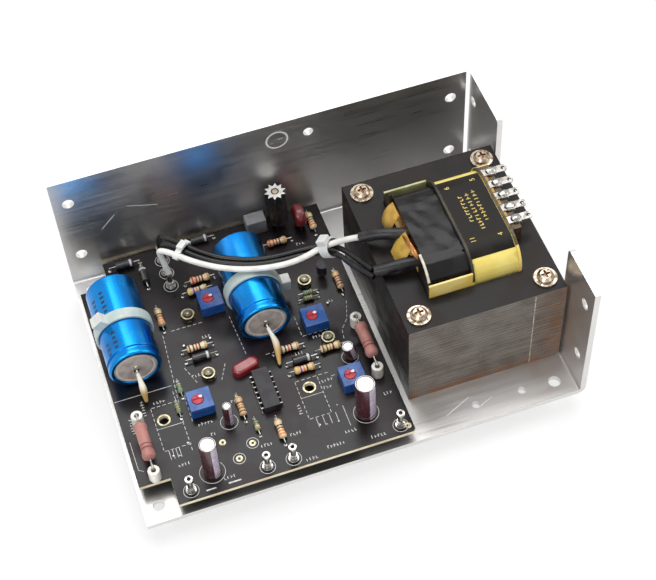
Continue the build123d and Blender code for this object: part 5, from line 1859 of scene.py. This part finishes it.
    def label(self) -> None:
        """Dress the label, which reaches the right flange, with plain bars and lug numbers printed on it."""
        low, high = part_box("winding_label")
        bm = rounded_node("winding_label", 0.06, 1)
        widen = (self.label_width * MM) / (high.x - low.x)
        start = Matrix.Translation((corner(self.label_start, 0).x, 0, 0))
        bm.transform(start @ Matrix.Diagonal((widen, 1.0, 1.0, 1.0)) @ Matrix.Translation((-low.x, 0, 0)))
        cut(bm, (0, high.y - self.label_bare * MM, 0), (0, 1, 0), clear=True)
        bmesh.ops.holes_fill(bm, edges=[edge for edge in bm.edges if edge.is_boundary])
        made = Making().take(bm, LABEL)
        centre_x = corner(self.label_start + self.label_width / 2, 0).x
        middle = Vector((centre_x, (low.y + high.y) / 2, high.z + self.ink_lift * MM))
        generator = random.Random(self.seed)
        for column, start_y, end_y in self.label_columns:
            along = start_y
            while along < end_y:
                long = generator.uniform(0.8, 1.5)
                centre = middle + Vector((column, along + long / 2, 0)) * MM
                tall = generator.uniform(1.2, 1.7)
                made.take(block((tall, 0.36, 0.04), Matrix.Translation(centre)), LABEL_INK)
                if generator.random() > 0.3:
                    side = Vector((generator.choice((-0.6, 0.0, 0.6)) * MM, 0.45 * MM, 0))
                    made.take(block((0.36, long * 0.7, 0.04), Matrix.Translation(centre + side)), LABEL_INK)
                along += long + 0.6
        turn = Matrix.Rotation(math.pi / 2, 4, "Z")
        for text, x, y in self.lug_numbers:
            place = Matrix.Translation(middle + Vector((x, y, 0)) * MM) @ turn
            made.take(numeral(text, self.number_height, place), LABEL_INK)
        made.piece("winding_label_film", "label_black", ["winding_label"])

    def former(self) -> None:
        """Dress the former: dark taped flanges, a pale slot liner at the back and yellow elsewhere."""
        bm = rounded_node("bobbin", 0.25)
        origin = corner(0, 0)
        for y in self.dark_span:
            cut(bm, corner(0, y), (0, 1, 0))

        def pick(face: bmesh.types.BMFace) -> Finish:
            """Return the finish of a face by the part of the former that it lies on."""
            x, y, _ = (face.calc_center_median() - origin) / MM
            if x < self.left_flange_end:
                return NYLON_CREAM if face.normal.z > 0.5 and y < self.open_front else NYLON_DARK
            if self.middle_flange[0] < x < self.middle_flange[1]:
                return NYLON_DARK if y > self.front_wall else NYLON
            if x > self.right_flange and self.dark_span[0] < y < self.dark_span[1]:
                return NYLON_AMBER
            return NYLON_OLIVE if x < self.middle_flange[1] and y > self.liner_from else NYLON

        Making().take(bm, pick).piece("bobbin_former", "former_nylon", ["bobbin"])

    def flap(self, along: tuple[float, float], top: Spot, foot: Spot, bulge: float) -> bmesh.types.BMesh:
        """Make a curved flap that hangs from the coil's left end.

        Args:
            along: Its two sides, as y in millimetres from the chassis's corner.
            top: x and z of its upper edge.
            foot: x and z of its lower edge.
            bulge: How far it curves out between them.

        Returns:
            The new mesh.
        """
        bm = bmesh.new()
        bmesh.ops.create_grid(bm, x_segments=10, y_segments=10, size=0.5)
        for vert in bm.verts:
            side, down = vert.co.x + 0.5, vert.co.y + 0.5
            arch = bulge * math.sin(math.pi * down) * (0.55 + 0.45 * math.sin(math.pi * side))
            narrow = 0.5 + (side - 0.5) * (0.72 + 0.28 * math.sin(math.pi * (0.15 + 0.75 * down)))
            vert.co = corner(top[0] + (foot[0] - top[0]) * down - arch,
                             along[0] + (along[1] - along[0]) * narrow,
                             top[1] + (foot[1] - top[1]) * down + 0.4 * arch)
        bmesh.ops.recalc_face_normals(bm, faces=bm.faces)
        bmesh.ops.solidify(bm, geom=bm.faces[:], thickness=0.3 * MM)
        return bm

    def coil_end(self) -> None:
        """Show the coil's left end: the winding, two kraft flaps and loose strands at the flange."""
        made = Making().take(rounded_node("primary_winding", 0.6, 3), COPPER)
        for number in range(self.strands):
            step = self.strand_step * number
            points = [corner(122.9 - 0.3 * step, 61.0 - step, 51.0 - step),
                      corner(122.6, 57.0, 55.6 - step),
                      corner(122.9, 52.4 - 0.5 * step, 58.2 - step),
                      corner(123.7, 48.6 - 0.6 * step, 58.6 - 1.6 * step),
                      corner(124.6, 45.6, 56.0 - 2.0 * step)]
            made.take(wire(points, self.strand_diameter), COPPER)
        made.piece("primary_turns", "winding_copper", ["primary_winding"])
        flaps = Making().take(self.flap((63.4, 72.0), (123.9, 58.4), (119.4, 48.4), 1.6), KRAFT)
        flaps.take(self.flap((48.6, 58.2), (123.9, 56.4), (118.0, 47.1), 0.5), AMBER)
        flaps.piece("coil_end_patches", "yellow_tape")

    def lugs(self) -> None:
        """Dress the lugs, each with a wrapped and soldered joint."""
        made = Making().take(rounded_node("terminal_lugs", 0.12), TINNED)
        kraft = Making()
        rows = islands("terminal_lugs")
        half = self.turn_radius
        turn = ((0, half), (0.35, half + 0.3), (0.7, half), (0.35, half - 0.3), (0, half))
        for number, (low, high) in enumerate(rows):
            middle = (low + high) / 2
            for step in range(self.lug_turns):
                along = low.x + (self.turn_start + self.turn_pitch * step) * MM
                centre = Vector((along, middle.y, middle.z))
                loop = lathe(turn, Matrix.Translation(centre), 20)
                loop.transform(scaled_about(centre, (1.0, 1.0, self.turn_squeeze)))
                made.take(loop, SOLDER_AND_HIGHLIGHT)
            drop = Vector((low.x + 5.0 * MM, middle.y, high.z + 0.2 * MM))
            made.take(lump(drop, self.lug_drop, number), SOLDER_AND_HIGHLIGHT)
        for (low, high), (after, _) in zip(rows, rows[1:]):
            gap = Vector((low.x + 1.2 * MM, (high.y + after.y) / 2, low.z + 0.2 * MM))
            size = (2.6, after.y / MM - high.y / MM - 0.5, 1.2)
            kraft.take(block(size, Matrix.Translation(gap), 0.3), KRAFT)
        made.piece("terminal_lug_set", "tinned_copper", ["terminal_lugs"])
        kraft.piece("lug_spacers", "yellow_tape")

    def screws(self) -> None:
        """Dress the core's screws: a bright ring round a browner dome with a dark recess."""
        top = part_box("transformer_screws")[1].z
        middles = [(low + high) / 2 for low, high in islands("transformer_screws")]

        def pick(face: bmesh.types.BMFace) -> Finish:
            """Return the finish of a face by its height and its distance from the screw's axis."""
            centre = face.calc_center_median()
            gap = min((centre.xy - middle.xy).length for middle in middles)
            if top - 1.5 * MM < centre.z < top - 0.9 * MM and face.normal.z > 0.9:
                return SCREW_RECESS
            return SCREW_DOME if gap < self.dome_radius * MM and centre.z > top - 2.5 * MM else SCREW

        dress("transformer_screws", "transformer_screw_set", "screw_nickel", pick, 0.18)

    def build(self) -> None:
        """Build the transformer."""
        self.core()
        self.former()
        self.seam()
        dress("secondary_winding", "secondary_turns", "winding_copper", COPPER, 0.2)
        self.coil_end()
        self.wrapped("primary_tape", BLACK_TAPE, 0.55)
        self.wrapped("secondary_tape", YELLOW_TAPE, 0.15)
        self.label()
        self.lugs()
        self.screws()
        dress("transformer_nuts", "transformer_nut_set", "plated_steel", ZINC)


@dataclass
class Hardware:
    """Screws, nuts, spacers, cans and turrets."""

    # The ring on each nut's top edge is a painted highlight along the chamfer.
    rim_radius: float = 2.45
    highlight_ring_width: float = 0.5
    highlight_ring_height: float = 0.12
    highlight_ring_sink: float = 0.02
    # Size of the painted highlight on each screw's end.
    tip_highlight_size: Point = (0.7, 0.7, 0.15)

    def build(self) -> None:
        """Dress each set of turned parts."""
        for node, finish, slot, width in (("board_spacers", ZINC, "plated_steel", 0.1),
                                          ("transistor_screws", OLIVE_PLATE, "plated_steel", 0.1),
                                          ("transistor_insulators", MICA, "mica_sheet", 0.03),
                                          ("pass_transistor_left", CAN_STEEL, "can_steel", 0.1),
                                          ("pass_transistor_right", CAN_STEEL, "can_steel", 0.1),
                                          ("terminal_posts", SOLDER_AND_HIGHLIGHT, "tinned_brass", 0.1)):
            dress(node, node + "_finished", slot, finish, width)
        nuts = Making().take(rounded_node("transistor_nuts", 0.2), OLIVE_PLATE)
        screw_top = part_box("transistor_screws")[1].z
        for low, high in islands("transistor_nuts"):
            middle = (low + high) / 2
            # A thin tan ring at the top of each nut: painted highlight along the chamfer.
            rim = Vector((middle.x, middle.y, high.z - self.highlight_ring_sink * MM))
            nuts.take(ring(rim, self.rim_radius, self.highlight_ring_width, self.highlight_ring_height), TAN_PLATE_AND_HIGHLIGHT)
            # A bright drop on each screw's end is a painted highlight.
            dot = Vector((middle.x, middle.y, screw_top))
            nuts.take(lump(dot, self.tip_highlight_size, middle.x / MM), SOLDER_AND_HIGHLIGHT)
        nuts.piece("transistor_nuts_finished", "plated_steel", ["transistor_nuts"])


def main() -> None:
    """Build the scene: camera and leads first, then every sub-assembly."""
    logging.basicConfig(level=logging.INFO, format="%(name)s %(message)s")
    studio = Studio()
    studio.camera()
    Wiring().build()
    studio.build()
    Chassis().build()
    Board().build()
    SmallParts().build()
    Trimmers().build()
    FilterCapacitors().build()
    Transformer().build()
    Hardware().build()


if __name__ == "__main__":
    main()
